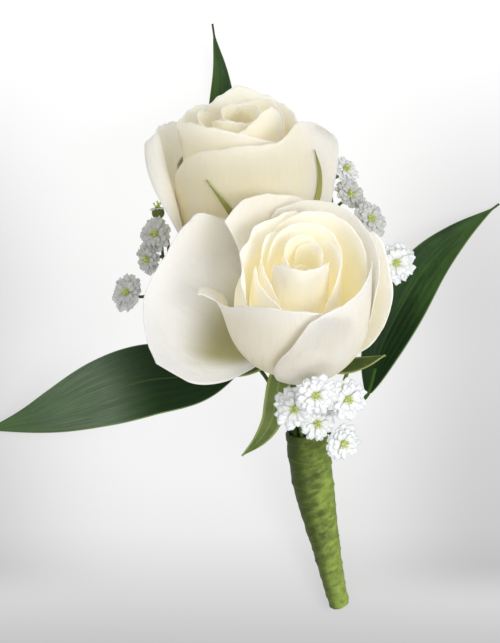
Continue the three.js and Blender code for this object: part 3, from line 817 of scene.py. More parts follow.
@dataclass(frozen=True)
class FloretFinish:
    """Papery white floret petal, yellow-green at its eye, faintly blue-grey with painted shade at
    its edge, greyed by painted shade where it lies low, with a faint painted glow.
    """

    name: str
    white: Colour = (0.86, 0.87, 0.84)
    eye: Colour = (0.5, 0.56, 0.16)
    edge: Colour = (0.42, 0.48, 0.56)
    dull: Colour = (0.33, 0.33, 0.29)
    glow: float = 0.07

    def material(self) -> bpy.types.Material:
        """Makes the material.

        Returns:
            The material.
        """
        shader = Shader(self.name)
        across, along, seed, dull = shader.readings("across", "along", "seed", "dull")
        lines = shader.noise((across * 6 + seed, along * 2, seed), 2.4, 3, 0.6)
        body = shader.glaze(
            self.white,
            # Painted shade: blue-grey in streaks and towards each petal's end and sides.
            (lines.ramp(0.5, 0.85) * 0.3, self.edge),
            (along.ramp(0.86, 1.0) * 0.45, self.edge),
            (abs(across).ramp(0.7, 1.0) * 0.4, self.edge),
            # Painted shade: greys the florets that lie low beside the roses.
            (dull * (0.6 + lines * 0.6), self.dull),
            (1 - along.ramp(0.12, 0.42), self.eye),
        )
        return shader.finish(
            Base_Color=body,
            Roughness=0.6,
            Subsurface_Weight=0.25,
            Subsurface_Radius=(0.0014, 0.0014, 0.001),
            Subsurface_Scale=1.0,
            Specular_IOR_Level=0.3,
            # Painted glow: the petals give off a little light of their own colour.
            Emission_Color=body,
            Emission_Strength=self.glow,
            Normal=shader.bump(lines, 0.00015, 0.5),
        )


@dataclass(frozen=True)
class TapeFinish:
    """Waxed crepe tape in olive green, streaked across and paler where it is stretched, with
    painted light and shade.
    """

    name: str
    deep: Colour = (0.032, 0.052, 0.007)
    mid: Colour = (0.12, 0.165, 0.023)
    pale: Colour = (0.31, 0.41, 0.08)

    def material(self) -> bpy.types.Material:
        """Makes the material.

        Returns:
            The material.
        """
        shader = Shader(self.name)
        around, along, lap = shader.readings("across", "along", "lap")
        turn = around * (2 * math.pi)
        side, front = turn.cosine(), turn.sine()
        crinkle = shader.noise((side * 1.1, front * 1.1, along * 13 + side * 0.25), 1.9, 2.5, 0.45)
        folds = shader.noise((side * 0.8, front * 0.8, along * 26 + side * 0.4), 1.5, 2.5, 0.55)
        cloud = shader.noise(shader.place(), 130, 4, 0.6)
        body = shader.glaze(
            self.deep,
            (cloud.ramp(0.3, 0.7), self.mid),
            # Painted light: paler towards its cut end.
            (along.ramp(0.4, 0.95) * 0.55, self.pale),
            # Paler and darker with its crinkles and folds: partly its own mottle where it is
            # stretched, partly painted light on their ridges and painted shade in their hollows.
            (crinkle.ramp(0.38, 0.74) * 0.55, self.pale),
            (folds.ramp(0.44, 0.76) * 0.45, self.pale),
            (folds.ramp(0.5, 0.24) * 0.65, self.deep),
            # Painted shade on its left side, less of it lower down, and painted light on its right
            # side.
            (side.ramp(0.35, -0.7) * (0.95 - along * 0.35), self.deep),
            (side.ramp(0.0, 0.85) * 0.28, self.pale),
            # Painted highlight along the edges of its laps.
            (lap.ramp(0.9, 1.0) * 0.15, self.pale),
        )
        return shader.finish(
            Base_Color=body,
            Roughness=0.5 + crinkle * 0.16,
            Specular_IOR_Level=0.22,
            Normal=shader.bump(crinkle * 0.6 + folds * 0.6 + cloud * 0.2, 0.0006, 0.55),
        )


# Roses.


class Layer(Enum):
    """The layers of a rose, from its heart outwards, with how warm their cream is and how much
    painted glow they get.
    """

    HEART = ("heart", 1.0)
    RING = ("ring", 0.72)
    CUP = ("cup", 0.08)
    GUARD = ("guard", 0.0)


@dataclass(frozen=True)
class Petal:
    """A petal in the frame of its rose: x to the right, y to the back, z along the axis.

    turn is the side that it stands on, from the front to the right, and nod how far it tips
    towards the front, both in degrees. spine is its middle line as radius and height. wrap is
    the radius it is rolled to across, at its foot and its rim. roll is how far each side turns
    back, in radians. rim is the height of its upper edge from side to side, as a share of the
    spine. shade is how far it lies in the shade of its neighbours.
    """

    turn: float
    spine: FlatPath
    width: float
    layer: Layer = Layer.CUP
    base: float = 0.25
    widest: float = 0.72
    narrow: float = 0.12
    wrap: tuple[float, float] = (14.0, 14.0)
    tuck: float = 0.0
    roll: tuple[float, float] = (0.0, 0.0)
    roll_start: float = 0.5
    roll_rise: float = 1.5
    rim: tuple[float, ...] = (0.86, 0.95, 0.99, 1.0, 0.99, 0.95, 0.86)
    frill: float = 0.0
    waves: float = 3.0
    phase: float = 0.0
    nod: float = 0.0
    lip: float = 0.35
    lip_start: float = 0.84
    swell: float = 0.1
    shade: float = 0.0
    nick: float = 0.003
    thick: float = 0.46
    thinning: float = 0.3
    columns: int = 49
    rows: int = 45

    def half_width(self, along: Share) -> Share:
        """Measures the petal across.

        Args:
            along: Shares of its height.

        Returns:
            Half its width there.
        """
        grown = np.sin(math.pi / 2 * np.minimum(1, along / self.widest)) ** 0.9
        past = np.maximum(0, (along - self.widest) / (1 - self.widest))
        return self.width * (self.base + (1 - self.base) * grown) * (1 - self.narrow * past**2)

    def _across(self, across: Points, along: float) -> tuple[Points, Points]:
        """Rolls the petal across its middle line.

        Args:
            across: Places from one edge, -1, to the other, 1.
            along: The share of its height.

        Returns:
            How far they lie to the side of the spine, and how far in towards the axis.
        """
        fine = np.linspace(0, 1, 65)
        width = float(self.half_width(along))
        radius = self.wrap[0] + (self.wrap[1] - self.wrap[0]) * along
        aside, inward = np.zeros_like(across), np.zeros_like(across)
        past = np.clip((fine - self.roll_start) / (1 - self.roll_start), 0, 1)
        for side, roll in zip((-1, 1), self.roll):
            bent = side * self.tuck + fine * width / radius
            bent = bent - roll * past**1.5 * along**self.roll_rise
            middle = (bent[1:] + bent[:-1]) / 2
            step = width * np.diff(fine)
            far = np.concatenate([[0.0], np.cumsum(np.cos(middle) * step)])
            deep = np.concatenate([[0.0], np.cumsum(np.sin(middle) * step)])
            here = across < 0 if side < 0 else across >= 0
            aside[here] = side * np.interp(np.abs(across[here]), fine, far)
            inward[here] = np.interp(np.abs(across[here]), fine, deep)
        return aside, inward

    def _wave(self, across: Points, place: float, seed: float) -> Points:
        """Ruffles a row of the petal.

        Args:
            across: Places from one edge to the other.
            place: The row's place from the foot, 0, to the rim, 1.
            seed: What its gentle swell starts from.

        Returns:
            How far the row is pushed in at each place.
        """
        wave = self.frill * np.sin(self.waves * math.pi * across + self.phase) * place**4
        soft = ripple(across, np.full_like(across, place), seed) * place
        soft = soft + 0.5 * np.sin(8 * across + 3 * seed) * place**6
        wave = wave + self.swell * soft
        turned = max(0.0, (place - self.lip_start) / (1 - self.lip_start)) ** 2
        return wave - self.lip * turned

    def at(self, across: Points, along: Points, seed: float = 0.0) -> Points:
        """Returns a grid of middle points.

        Args:
            across: Places from one edge, -1, to the other, 1, in even steps.
            along: Places from the foot, 0, to the rim, 1.
            seed: What its gentle swell starts from.

        Returns:
            The points, as rows along the petal and columns across it.
        """
        spine = Spine(self.spine)
        top = profile(self.rim, (across + 1) / 2)
        top = top + self.nick * (np.sin(17 * across + seed) + 0.6 * np.sin(31 * across + 2 * seed))
        rows = []
        for place in along:
            aside, inward = self._across(across, float(place))
            point, tangent = spine.at(place * top), spine.along(place * top)
            push = inward + self._wave(across, place, seed)
            radius = point[:, 0] - tangent[:, 1] * push
            rise = point[:, 1] + tangent[:, 0] * push
            rows.append(np.stack([radius, aside, rise], -1))
        radius, aside, rise = np.moveaxis(np.array(rows), -1, 0)
        turn, nod = math.radians(self.turn), math.radians(self.nod)
        right = radius * math.sin(turn) + aside * math.cos(turn)
        back = -radius * math.cos(turn) + aside * math.sin(turn)
        low = back * math.cos(nod) - rise * math.sin(nod)
        high = back * math.sin(nod) + rise * math.cos(nod)
        return np.stack([right, low, high], -1)

    def outside(self, across: float, along: float, lift: float) -> Points:
        """Finds a point that stands off the petal's outer face.

        Args:
            across: Its place from one edge, -1, to the other, 1.
            along: Its place from the foot, 0, to the rim, 1.
            lift: How far off the face it stands.

        Returns:
            The point.
        """
        step = 0.02
        sides = np.array([across - step, across, across + step])
        heights = np.array([max(along - step, 0.0), along, min(along + step, 1.0)])
        grid = replace(self, swell=0.0).at(sides, heights)
        out = unit(np.cross(grid[1, 2] - grid[1, 0], grid[2, 1] - grid[0, 1]))
        return grid[1, 1] + out * lift

    def draw(self, draft: Draft, head: "Head", seed: float) -> None:
        """Adds the petal to a draft.

        Args:
            draft: The draft.
            head: The rose that it belongs to.
            seed: What its swell and its markings start from.
        """
        across, along = np.linspace(-1, 1, self.columns), np.linspace(0, 1, self.rows)
        thickness = self.thick - self.thinning * along**3
        side = 1 - 0.55 * np.abs(across) ** 6
        draft.add_sheet(
            head.place(self.at(across, along, seed)),
            thickness[:, None] * side[None, :],
            across,
            along,
            seed=seed,
            heart=self.layer.value[1],
            shade=self.shade,
            butter=head.butter,
        )


@dataclass(frozen=True)
class Head:
    """Where a rose is held, how its axis leans, in degrees, and how yellow its cream is."""

    foot: Spot
    tilt: float
    lean: float
    butter: float

    def frame(self) -> tuple[Points, Points, Points]:
        """Finds the rose's directions.

        Returns:
            The directions to its right, to its back and along its axis.
        """
        rise, side = math.radians(self.tilt), math.radians(self.lean)
        axis = np.array(
            [math.cos(rise) * math.sin(side), math.cos(rise) * math.cos(side), math.sin(rise)]
        )
        right = np.array([math.cos(side), -math.sin(side), 0.0])
        return right, np.cross(axis, right), axis

    def place(self, points: Points) -> Points:
        """Returns points of the rose's frame in the frame of the bunch."""
        return placed(np.asarray(points, float), self.foot, self.frame())


@dataclass
class Rose:
    """A rose bloom: its petals in layers."""

    name: str
    head: Head
    petals: tuple[Petal, ...]

    def build(self, finish: bpy.types.Material) -> None:
        """Builds one piece for each layer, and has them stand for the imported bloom.

        Args:
            finish: The petals' material.
        """
        for layer in Layer:
            draft = Draft()
            for number, petal in enumerate(self.petals):
                if petal.layer is layer:
                    petal.draw(draft, self.head, number * 1.37 + len(self.name))
            if draft.count:
                name = f"{self.name}_{layer.value[0]}"
                draft.piece(name, finish, "petal", f"{self.name}_petals")


FRONT_HEAD = Head((10.6, -6.6, 28.0), 50.0, 5.5, 0.1)
BACK_HEAD = Head((3.1, 11.6, 11.1), 24.0, -6.0, 0.85)

BLUNT_RIM = (0.94, 0.98, 1.0, 1.0, 1.0, 0.98, 0.94)
SLIM = {"layer": Layer.HEART, "base": 0.5, "wrap": (5, 4), "tuck": 0.15, "rim": BLUNT_RIM}
CURLED = {
    "layer": Layer.HEART, "base": 0.6, "tuck": 0.2, "rim": BLUNT_RIM, "swell": 0.04, "lip": 0.1,
}

FRONT_PETALS = (
    Petal(1, ((1.5, 0), (5.2, 8), (6.9, 19), (4.9, 31.2)), 9.8, Layer.HEART, base=0.5,
          widest=0.5, narrow=0.2,
          wrap=(7, 5.4), rim=(0.9, 0.955, 0.985, 0.985, 0.985, 0.985, 0.95)),
    Petal(100, ((1.5, 0), (4.5, 8), (5.2, 18), (3.6, 30)), 7.5, **SLIM),
    Petal(220, ((1.5, 0), (4.5, 8), (5, 18), (3.4, 30.5)), 8, **SLIM),
    Petal(20, ((0.8, 4), (2.4, 11), (2.9, 17), (2.1, 22.5)), 5, wrap=(2.2, 2.0), **CURLED),
    Petal(190, ((0.8, 4), (2.4, 11), (2.9, 17), (1.9, 24)), 5, wrap=(2.2, 1.8), **CURLED),
    Petal(100, ((1.5, 0), (7, 7), (8.2, 17), (7.2, 29.5)), 9.5, Layer.RING, base=0.4,
          wrap=(8, 7.4), tuck=0.14, rim=(0.84, 0.95, 1, 1, 0.98, 0.96, 0.9)),
    Petal(182, ((1.5, 0), (7, 7), (8.2, 17), (7, 30.5)), 11, Layer.RING, base=0.4,
          wrap=(8, 7.6), tuck=0.14, rim=(0.9, 0.97, 1, 1, 1, 0.97, 0.9)),
    Petal(262, ((1.5, 0), (7, 7), (8.4, 17), (7.6, 29)), 10, Layer.RING, base=0.4,
          wrap=(8, 7.8), tuck=0.14, rim=(0.9, 0.97, 1, 0.98, 0.94, 0.9, 0.8)),
    Petal(-44, ((1.5, 0), (8, 7), (9.6, 17), (8.8, 27)), 9, Layer.RING, base=0.4,
          wrap=(9, 8.4), rim=(0.82, 1, 0.96, 0.93, 0.9, 0.85, 0.8)),
    Petal(244, ((1.5, 0), (10.6, 6), (12.2, 15), (11, 22), (11.5, 28.2)), 13.6, Layer.RING,
          base=0.3, wrap=(11, 12.5), rim=(0.96, 0.985, 1, 0.98, 0.97, 0.98, 0.92),
          roll=(0.7, 0.3), frill=0.4, waves=3.4, phase=0.6),
    Petal(146, ((1.5, 0), (10.3, 6), (11.8, 16), (11.8, 30)), 15, Layer.RING, base=0.3,
          wrap=(11, 11.6), tuck=0.12, rim=(0.84, 0.92, 0.97, 1, 1, 0.97, 0.9)),
    Petal(-28, ((2, 0), (9.3, 2.8), (13.1, 9), (13.6, 17.6), (13, 27.8)), 19.5, Layer.CUP,
          shade=0.28, wrap=(11.6, 15), tuck=0.04, roll=(2.5, 0), roll_start=0.5, roll_rise=3.1,
          rim=(0.75, 0.68, 0.845, 0.96, 1, 0.99, 0.92)),
    Petal(44, ((2, 0), (10.2, 2.4), (14.6, 8.6), (15.2, 17.6), (13.7, 30.2)), 15, Layer.CUP,
          shade=0.25, wrap=(14.8, 14), tuck=0.03, rim=(0.66, 0.89, 0.95, 0.965, 0.98, 1, 0.95)),
    Petal(144, ((2, 1.4), (11.4, 4.8), (14, 12), (14.6, 20), (15.2, 28.8)), 17.5, Layer.CUP,
          wrap=(15, 16), rim=(0.86, 0.94, 0.98, 1, 1, 0.97, 0.9)),
    Petal(196, ((2, 2.4), (10.6, 6), (13.2, 12), (14.8, 19), (18.2, 28.3)), 9, Layer.CUP,
          base=0.35, widest=0.5, narrow=-0.6, wrap=(14, 18),
          rim=(0.72, 0.82, 0.92, 0.965, 0.99, 0.98, 0.91)),
    Petal(121, ((2, 0), (11.4, 2), (16.8, 7), (19.2, 14), (19.2, 23)), 10.4, Layer.GUARD,
          wrap=(16, 18), rim=(0.56, 0.74, 0.86, 0.94, 1, 0.95, 0.74), swell=0.2),
    Petal(243, ((2, 0.8), (8, 1.6), (19, 3), (27, 6.6), (32, 12.1)), 19.6, Layer.GUARD,
          base=0.08, widest=0.6, narrow=0.0, wrap=(20, 26), nod=34, swell=0.3, shade=0.95,
          rim=(0.56, 0.68, 0.96, 0.98, 0.965, 0.957, 0.95, 0.947, 0.94, 0.918, 0.88, 0.79,
               0.665)),
)

BACK_PETALS = (
    Petal(-20, ((1.5, 0), (5.2, 8), (6.2, 20), (4.6, 34)), 8.5, Layer.HEART, base=0.5,
          wrap=(5.5, 5), tuck=0.1, rim=(0.93, 0.965, 0.98, 0.98, 0.965, 0.96, 0.94)),
    Petal(110, ((1.5, 0), (4.5, 8), (5.2, 20), (3.4, 33.8)), 7.5, **SLIM),
    Petal(225, ((1.5, 0), (4.5, 8), (5, 20), (3.4, 34)), 8, **SLIM),
    Petal(28, ((1.5, 0), (7.5, 6), (9, 17), (8.6, 27), (8.8, 36)), 8, Layer.RING, base=0.4,
          wrap=(8.5, 8.8), rim=(0.86, 0.9, 0.94, 0.98, 1, 0.97, 0.9)),
    Petal(150, ((1.5, 0), (7, 6), (8.2, 17), (7.8, 33.4)), 11, Layer.RING, base=0.4,
          wrap=(8, 8), tuck=0.14, rim=(0.93, 0.97, 1, 1, 0.98, 0.96, 0.9)),
    Petal(270, ((1.5, 0), (7, 6), (8.4, 17), (8, 33.4)), 11, Layer.RING, base=0.4,
          wrap=(8, 8), tuck=0.14, rim=(0.93, 0.97, 1, 0.99, 0.97, 0.94, 0.9)),
    Petal(-34, ((1.5, 0), (10, 5), (12.4, 14), (12.2, 25), (12.6, 35)), 17, Layer.RING,
          base=0.35, wrap=(11.5, 12.6), rim=(0.86, 0.95, 1, 1, 0.98, 0.93, 0.86)),
    Petal(176, ((1.5, 0), (10, 5), (12, 14), (11.4, 25), (11.8, 35)), 12, Layer.RING,
          base=0.35, wrap=(11, 12), tuck=0.05, rim=(0.86, 0.93, 0.96, 1, 0.97, 0.93, 0.9)),
    Petal(232, ((1.5, 0), (10.5, 5), (12.8, 14), (12.4, 25), (12.8, 32)), 13, Layer.RING,
          base=0.35, wrap=(12, 13), tuck=0.05, frill=0.3, waves=2.5,
          rim=(0.94, 0.97, 1, 1, 0.99, 0.98, 0.95)),
    Petal(128, ((1.5, 0), (10.5, 5), (12, 14), (11, 25), (11, 32)), 12.4, Layer.RING,
          base=0.35, wrap=(12, 11.4), tuck=0.05, rim=(0.9, 0.95, 0.98, 1, 1, 1, 0.95)),
    Petal(5, ((2, 0), (12, 2.6), (15.8, 10), (15.7, 18), (15.4, 26), (15.8, 33.8)), 20.4,
          Layer.CUP, widest=0.85, wrap=(15, 15.6), roll=(0, 2.4), roll_rise=2.2,
          rim=(0.8, 0.905, 0.945, 0.955, 0.94, 1, 0.95)),
    Petal(252, ((2, 0.8), (10.8, 3.4), (14.4, 10), (15.4, 18), (16.2, 26), (16.8, 31)), 17.4,
          Layer.CUP, widest=0.6, narrow=0.55, wrap=(14.5, 15.4), roll=(0, 2.3), roll_start=0.38,
          roll_rise=1.1, rim=(0.93, 0.955, 0.97, 0.985, 1, 0.99, 0.95)),
    Petal(124, ((2, 1.6), (11.4, 4.2), (15.2, 10.8), (15.4, 18), (14, 26), (13.4, 27.6)), 19,
          Layer.CUP, wrap=(13.6, 14), rim=(0.88, 0.95, 0.98, 1, 0.98, 0.93, 0.86)),
    Petal(186, ((2, 2.4), (10.8, 4.6), (13.6, 9), (14.6, 16), (15, 25)), 17, Layer.CUP,
          wrap=(15, 16.5), rim=(0.86, 0.94, 0.99, 1, 0.99, 0.93, 0.86)),
)


# Handle, stems and sepals.


@dataclass(frozen=True)
class Berth:
    """Where a stem lies in the handle: right of its centre, above it, and how far it reaches."""

    right: float
    above: float
    reach: float


@dataclass
class Handle:
    """The bound stems: their centre line, and the radius of the tape along it."""

    places: Path = (
        (13.9, -23.6, 14.2), (14.5, -28.5, 12.7), (15.4, -34.6, 10.7), (16.6, -41.0, 8.5),
        (18.0, -47.4, 6.3), (19.3, -53.4, 4.4), (20.5, -58.4, 2.9), (21.3, -61.6, 2.05),
    )
    radii: tuple[float, ...] = (4.35, 4.4, 4.3, 3.85, 3.3, 2.8, 2.4, 2.1)
    wall: float = 0.62
    laps: float = 9.0
    ridge: float = 0.16
    sides: int = 80
    rings: int = 300
    inner_rings: int = 12
    inner_depth: float = 0.3
    end_start: float = 0.985

    def __post_init__(self) -> None:
        """Lays the centre line."""
        self.line = Route(self.places)

    def frame(self, share: float) -> tuple[Points, Points, Points]:
        """Finds the handle's directions.

        Args:
            share: The share of its length.

        Returns:
            The directions down along it, to its right and above it.
        """
        along = self.line.along(share)
        right = unit(np.array([-along[1], along[0], 0.0]))
        return along, right, unit(np.cross(along, right))

    def radius(self, share: float) -> float:
        """Returns the outer radius of the tape."""
        return float(profile(self.radii, share))

    def bore(self, share: float) -> float:
        """Returns the radius of the hollow that the stems lie in."""
        return self.radius(share) - self.wall

    def place(self, share: float, right: float, above: float) -> Points:
        """Finds a place in the handle, or straight before its mouth.

        Args:
            share: The share of its length, below 0 before its mouth.
            right: How far right of its centre the place lies at the mouth.
            above: How far above it.

        Returns:
            The place.
        """
        inside = max(share, 0.0)
        along, aside, up = self.frame(inside)
        hold = (self.bore(inside) / (self.radii[0] - self.wall)) ** 1.6
        start = self.line.at(inside) + along * min(share, 0.0) * self.line.length
        return start + aside * right * hold + up * above * hold

    def berth(self, stem: Berth) -> list[Points]:
        """Returns the places that a stem passes in the handle, from its mouth down."""
        shares = (-0.06, 0.02, 0.14, stem.reach * 0.6, stem.reach)
        return [self.place(share, stem.right, stem.above) for share in shares]

    def _wound(self, share: float, lap: Points, around: Points) -> Points:
        """Shapes the tape's outside at a share of the handle.

        Args:
            share: The share of its length.
            lap: How far across its own lap of tape each point lies.
            around: How far round the handle each point lies.

        Returns:
            The radius at each point.
        """
        circle = around * 2 * math.pi
        puckers = 0.05 * np.sin(circle * 3 + share * 41)
        puckers = puckers + 0.035 * np.sin(circle * 7 - share * 97)
        puckers = puckers + 0.12 * np.cos(circle * 3 - 1.2 + 2 * share)
        step = self.ridge * (lap**3 - 0.35) + puckers
        past = max(0.0, (share - self.end_start) / (1 - self.end_start))
        closed = math.sqrt(max(0.0, 1 - past**2))
        return (self.radius(share) + step) * (0.35 + 0.65 * closed)

    def build(self, finish: bpy.types.Material) -> None:
        """Builds the wound tape, open at its mouth and closed over the cut ends.

        Args:
            finish: The tape's material.
        """
        around = np.arange(self.sides) / self.sides
        rings, laps, shares = [], [], []
        for share in np.linspace(0, self.inner_depth, self.inner_rings)[::-1]:
            rings.append(self._ring(share, np.full(self.sides, self.bore(share))))
            laps.append(np.full(self.sides, 0.5))
            shares.append(share)
        for share in np.linspace(0, 1, self.rings):
            turns = self.laps * share + 0.35 * math.sin(8 * share) + 0.2 * math.sin(19 * share)
            lap = (turns + around) % 1
            rings.append(self._ring(share, self._wound(share, lap, around)))
            laps.append(lap)
            shares.append(share)
        draft = Draft()
        draft.add_skin(
            np.array(rings),
            across=around[None, :],
            along=np.array(shares)[:, None],
            lap=np.array(laps),
            seed=0.0,
        )
        draft.piece("stem_tape_wound", finish, "tape", "stem_tape")

    def _ring(self, share: float, radius: Points) -> Points:
        """Lays a ring of points about the centre line.

        Args:
            share: The share of the handle's length.
            radius: How far out each point lies.

        Returns:
            The points.
        """
        _, right, above = self.frame(share)
        angle = circle(len(radius))[:, None]
        ring = np.cos(angle) * right + np.sin(angle) * above
        return self.line.at(share) + ring * radius[:, None]


HANDLE = Handle()


@dataclass(frozen=True)
class Sepal:
    """A sepal: a narrow pointed blade, given by its middle points and its half width."""

    line: Sequence[Points]
    half_width: float
    outward: Sequence[Points]
    fold: float = -0.3
    taper: float = 1.8
    lit: float = 0.0
    thick: float = 0.42
    columns: int = 13
    rows: int = 49

    def draw(self, draft: Draft, seed: float) -> None:
        """Adds the sepal to a draft.

        Args:
            draft: The draft.
            seed: What its markings start from.
        """
        route, facing = Spine(self.line), Spine([unit(out) for out in self.outward])
        along, across = np.linspace(0, 1, self.rows), np.linspace(-1, 1, self.columns)
        grid = []
        for share in along:
            tangent = route.along(share)
            out = facing.at(share)
            out = unit(out - tangent * np.dot(out, tangent))
            aside = np.cross(out, tangent)
            reach = self.half_width * math.cos(math.pi / 2 * min(0.985, share) ** self.taper)
            reach = reach * (0.6 + 0.4 * min(1.0, share / 0.12))
            wave = 0.12 * math.sin(9 * share + seed)
            rise = self.fold * reach * np.abs(across) ** 1.4 + wave * across
            grid.append(route.at(share) + reach * across[:, None] * aside + rise[:, None] * out)
        draft.add_sheet(
            np.array(grid),
            self.thick - 0.14 * np.abs(across) ** 3,
            across,
            along,
            seed=seed,
            lit=self.lit * (1 - 0.6 * along[:, None] ** 8),
        )


@dataclass(frozen=True)
class LaidSepal:
    """A sepal on the outside of a petal: its path over it, and how far its foot lifts off."""

    petal: int
    path: FlatPath
    half_width: float
    foot_lift: float


@dataclass(frozen=True)
class FreeSepal:
    """A sepal that stands free: its side, in degrees, and its line as radius and height."""

    turn: float
    line: FlatPath
    half_width: float


@dataclass
class Calyx:
    """The green of a rose: its hip, its sepals and its stem down into the handle."""

    name: str
    head: Head
    petals: tuple[Petal, ...]
    stem: Path
    stem_radius: float
    berth: Berth
    laid: tuple[LaidSepal, ...] = ()
    free: tuple[FreeSepal, ...] = ()
    hanging: tuple[Path, ...] = ()
    hanging_width: float = 2.35
    laid_lift: float = 0.85
    laid_lit: float = 0.85
    hip_top: float = -0.75
    hip_depth: float = 5.2
    hip_radii: tuple[float, ...] = (1.3, 1.75, 2.6, 3.0, 3.05, 2.7, 2.1)

    def _laid(self, sepal: LaidSepal) -> Sepal:
        """Lays a sepal on the outside of its petal.

        Args:
            sepal: Its path over the petal.

        Returns:
            The sepal in the bunch.
        """
        petal, way = self.petals[sepal.petal], Spine(sepal.path)
        points, outs = [], []
        for share in np.linspace(0, 1, 10):
            across, along = map(float, way.at(share))
            lift = self.laid_lift + sepal.foot_lift * max(0.0, 1 - share / 0.6) ** 2
            points.append(self.head.place(petal.outside(across, along, lift)))
            outs.append(self.head.place(petal.outside(across, along, lift + 1)) - points[-1])
        first = petal.outside(*map(float, way.at(0.0)), self.laid_lift)
        root = (first[0] * 0.35, first[1] * 0.35, self.hip_top - 1.4)
        points.insert(0, self.head.place(root))
        outs.insert(0, outs[0])
        return Sepal(points, sepal.half_width, outs, lit=self.laid_lit)

    def _free(self, sepal: FreeSepal) -> Sepal:
        """Lays a sepal that stands free of the petals.

        Args:
            sepal: Its side and its line.

        Returns:
            The sepal in the bunch.
        """
        side = math.radians(sepal.turn)
        right, front = math.sin(side), -math.cos(side)
        points = [self.head.place((r * right, r * front, h)) for r, h in sepal.line]
        out = self.head.place((right, front, 0.0)) - np.array(self.head.foot)
        axis = self.head.frame()[2]
        return Sepal(points, sepal.half_width, [out * 0.4 - axis for _ in points], -0.2)

    def _hip(self, draft: Draft, low: float) -> None:
        """Adds the swollen hip under the bloom.

        Args:
            draft: The draft.
            low: The height of its lower end.
        """
        rings, sides = 22, 40
        shape = profile(self.hip_radii, np.linspace(0, 1, rings))[:, None]
        angle = circle(sides)
        ribs = 1 + 0.03 * np.cos(5 * angle)
        heights = np.linspace(low, self.hip_top, rings)[:, None]
        grid = [shape * (np.cos(angle) * ribs), shape * (np.sin(angle) * ribs)]
        grid.append(np.broadcast_to(heights, (rings, sides)))
        skin = self.head.place(np.stack(grid, -1))
        draft.add_skin(skin, across=0.3 * np.sin(angle)[None, :], along=0.5, seed=0.3)

    def build(self, finish: bpy.types.Material) -> None:
        """Builds the hip, the sepals and the stem as one piece.

        Args:
            finish: The material of the green.
        """
        draft = Draft()
        low = self.hip_top - self.hip_depth
        self._hip(draft, low)
        start = self.head.place((0, 0, low + 0.5 * self.hip_depth))
        route = Route([start, *self.stem, *HANDLE.berth(self.berth)])
        draft.add_bar(
            route, lambda share: self.stem_radius * (1 - 0.14 * share), 20, 90, seed=1.7
        )
        sepals = [self._laid(sepal) for sepal in self.laid]
        sepals += [self._free(sepal) for sepal in self.free]
        for line in self.hanging:
            outs = [np.array((0.0, -0.2, 1.0))] * len(line)
            sepals.append(Sepal(line, self.hanging_width, outs, 0.3))
        for number, sepal in enumerate(sepals):
            sepal.draw(draft, number * 1.9 + self.stem_radius)
        draft.piece(f"{self.name}_green", finish, "calyx", f"{self.name}_calyx")


# Leaves.


@dataclass
class Leaf:
    """A leaf: a pointed blade about a curved middle line, on a stalk into the handle.

    roll is how far the blade leans to a side, in degrees. lit_side and lit_tip say how far painted
    light brightens one side and the tip, and haze how strong its coat's gloss and its painted grey
    sheen are from its foot to its tip.
    """

    name: str
    line: Path
    half_width: float
    fold: float
    stalk: Path
    berth: Berth
    roll: float = 0.0
    wave: float = 0.0
    lit_side: float = 0.0
    lit_tip: float = 0.5
    haze: tuple[float, ...] = (0.2, 0.2, 0.2)
    seed: float = 0.0
    stalk_radius: float = 0.6
    stalk_lit: float = 0.4
    thick: float = 0.6
    rest_height: float = 0.36
    columns: int = 49
    rows: int = 121

    def _row(self, across: Points, share: float, route: Route) -> Points:
        """Lays a row of points across the blade.

        Args:
            across: Their places from one edge, -1, to the other, 1.
            share: The row's share of the blade's length.
            route: The blade's middle line.

        Returns:
            The points.
        """
        along = route.along(share)
        aside = unit(np.array([along[1], -along[0], 0.0]))
        roll = math.radians(self.roll)
        aside = aside * math.cos(roll) + np.cross(along, aside) * math.sin(roll)
        up = unit(np.cross(aside, along))
        reach = math.sin(math.pi * min(0.985, 0.02 + share) ** 0.75) ** 1.1
        width = max(self.half_width * reach, 0.22)
        rise = self.fold * np.abs(across) ** 1.4 * self.half_width * reach
        swell = self.wave * np.sin(2.5 * math.pi * share + across) * across**2 * reach
        veins = 0.05 * np.sin(abs(across) * 26 - share * 9) * reach * (1 - across**8)
        offset = (rise + swell + veins)[:, None] * up
        return route.at(share) + (across * width)[:, None] * aside + offset

    def build(self, finish: bpy.types.Material) -> None:
        """Builds the blade and its stalk as one piece.

        Args:
            finish: The leaf's material.
        """
        route = Route(self.line)
        across, along = np.linspace(-1, 1, self.columns), np.linspace(0, 1, self.rows)
        grid = np.array([self._row(across, share, route) for share in along])
        grid[..., 2] = np.maximum(grid[..., 2], self.rest_height)
        lit = self.lit_side * across[None, :] + self.lit_tip * (along[:, None] ** 3)
        draft = Draft()
        draft.add_sheet(
            grid,
            self.thick - 0.25 * np.abs(across) ** 4,
            across,
            along,
            seed=self.seed,
            lit=np.clip(lit, 0, 1),
            haze=profile(self.haze, along)[:, None],
        )
        stalk = Route([route.at(0.1), self.line[0], *self.stalk, *HANDLE.berth(self.berth)])
        draft.add_bar(stalk, self.stalk_radius, seed=self.seed, lit=self.stalk_lit)
        draft.piece(f"{self.name}_blade", finish, "leaf", self.name)


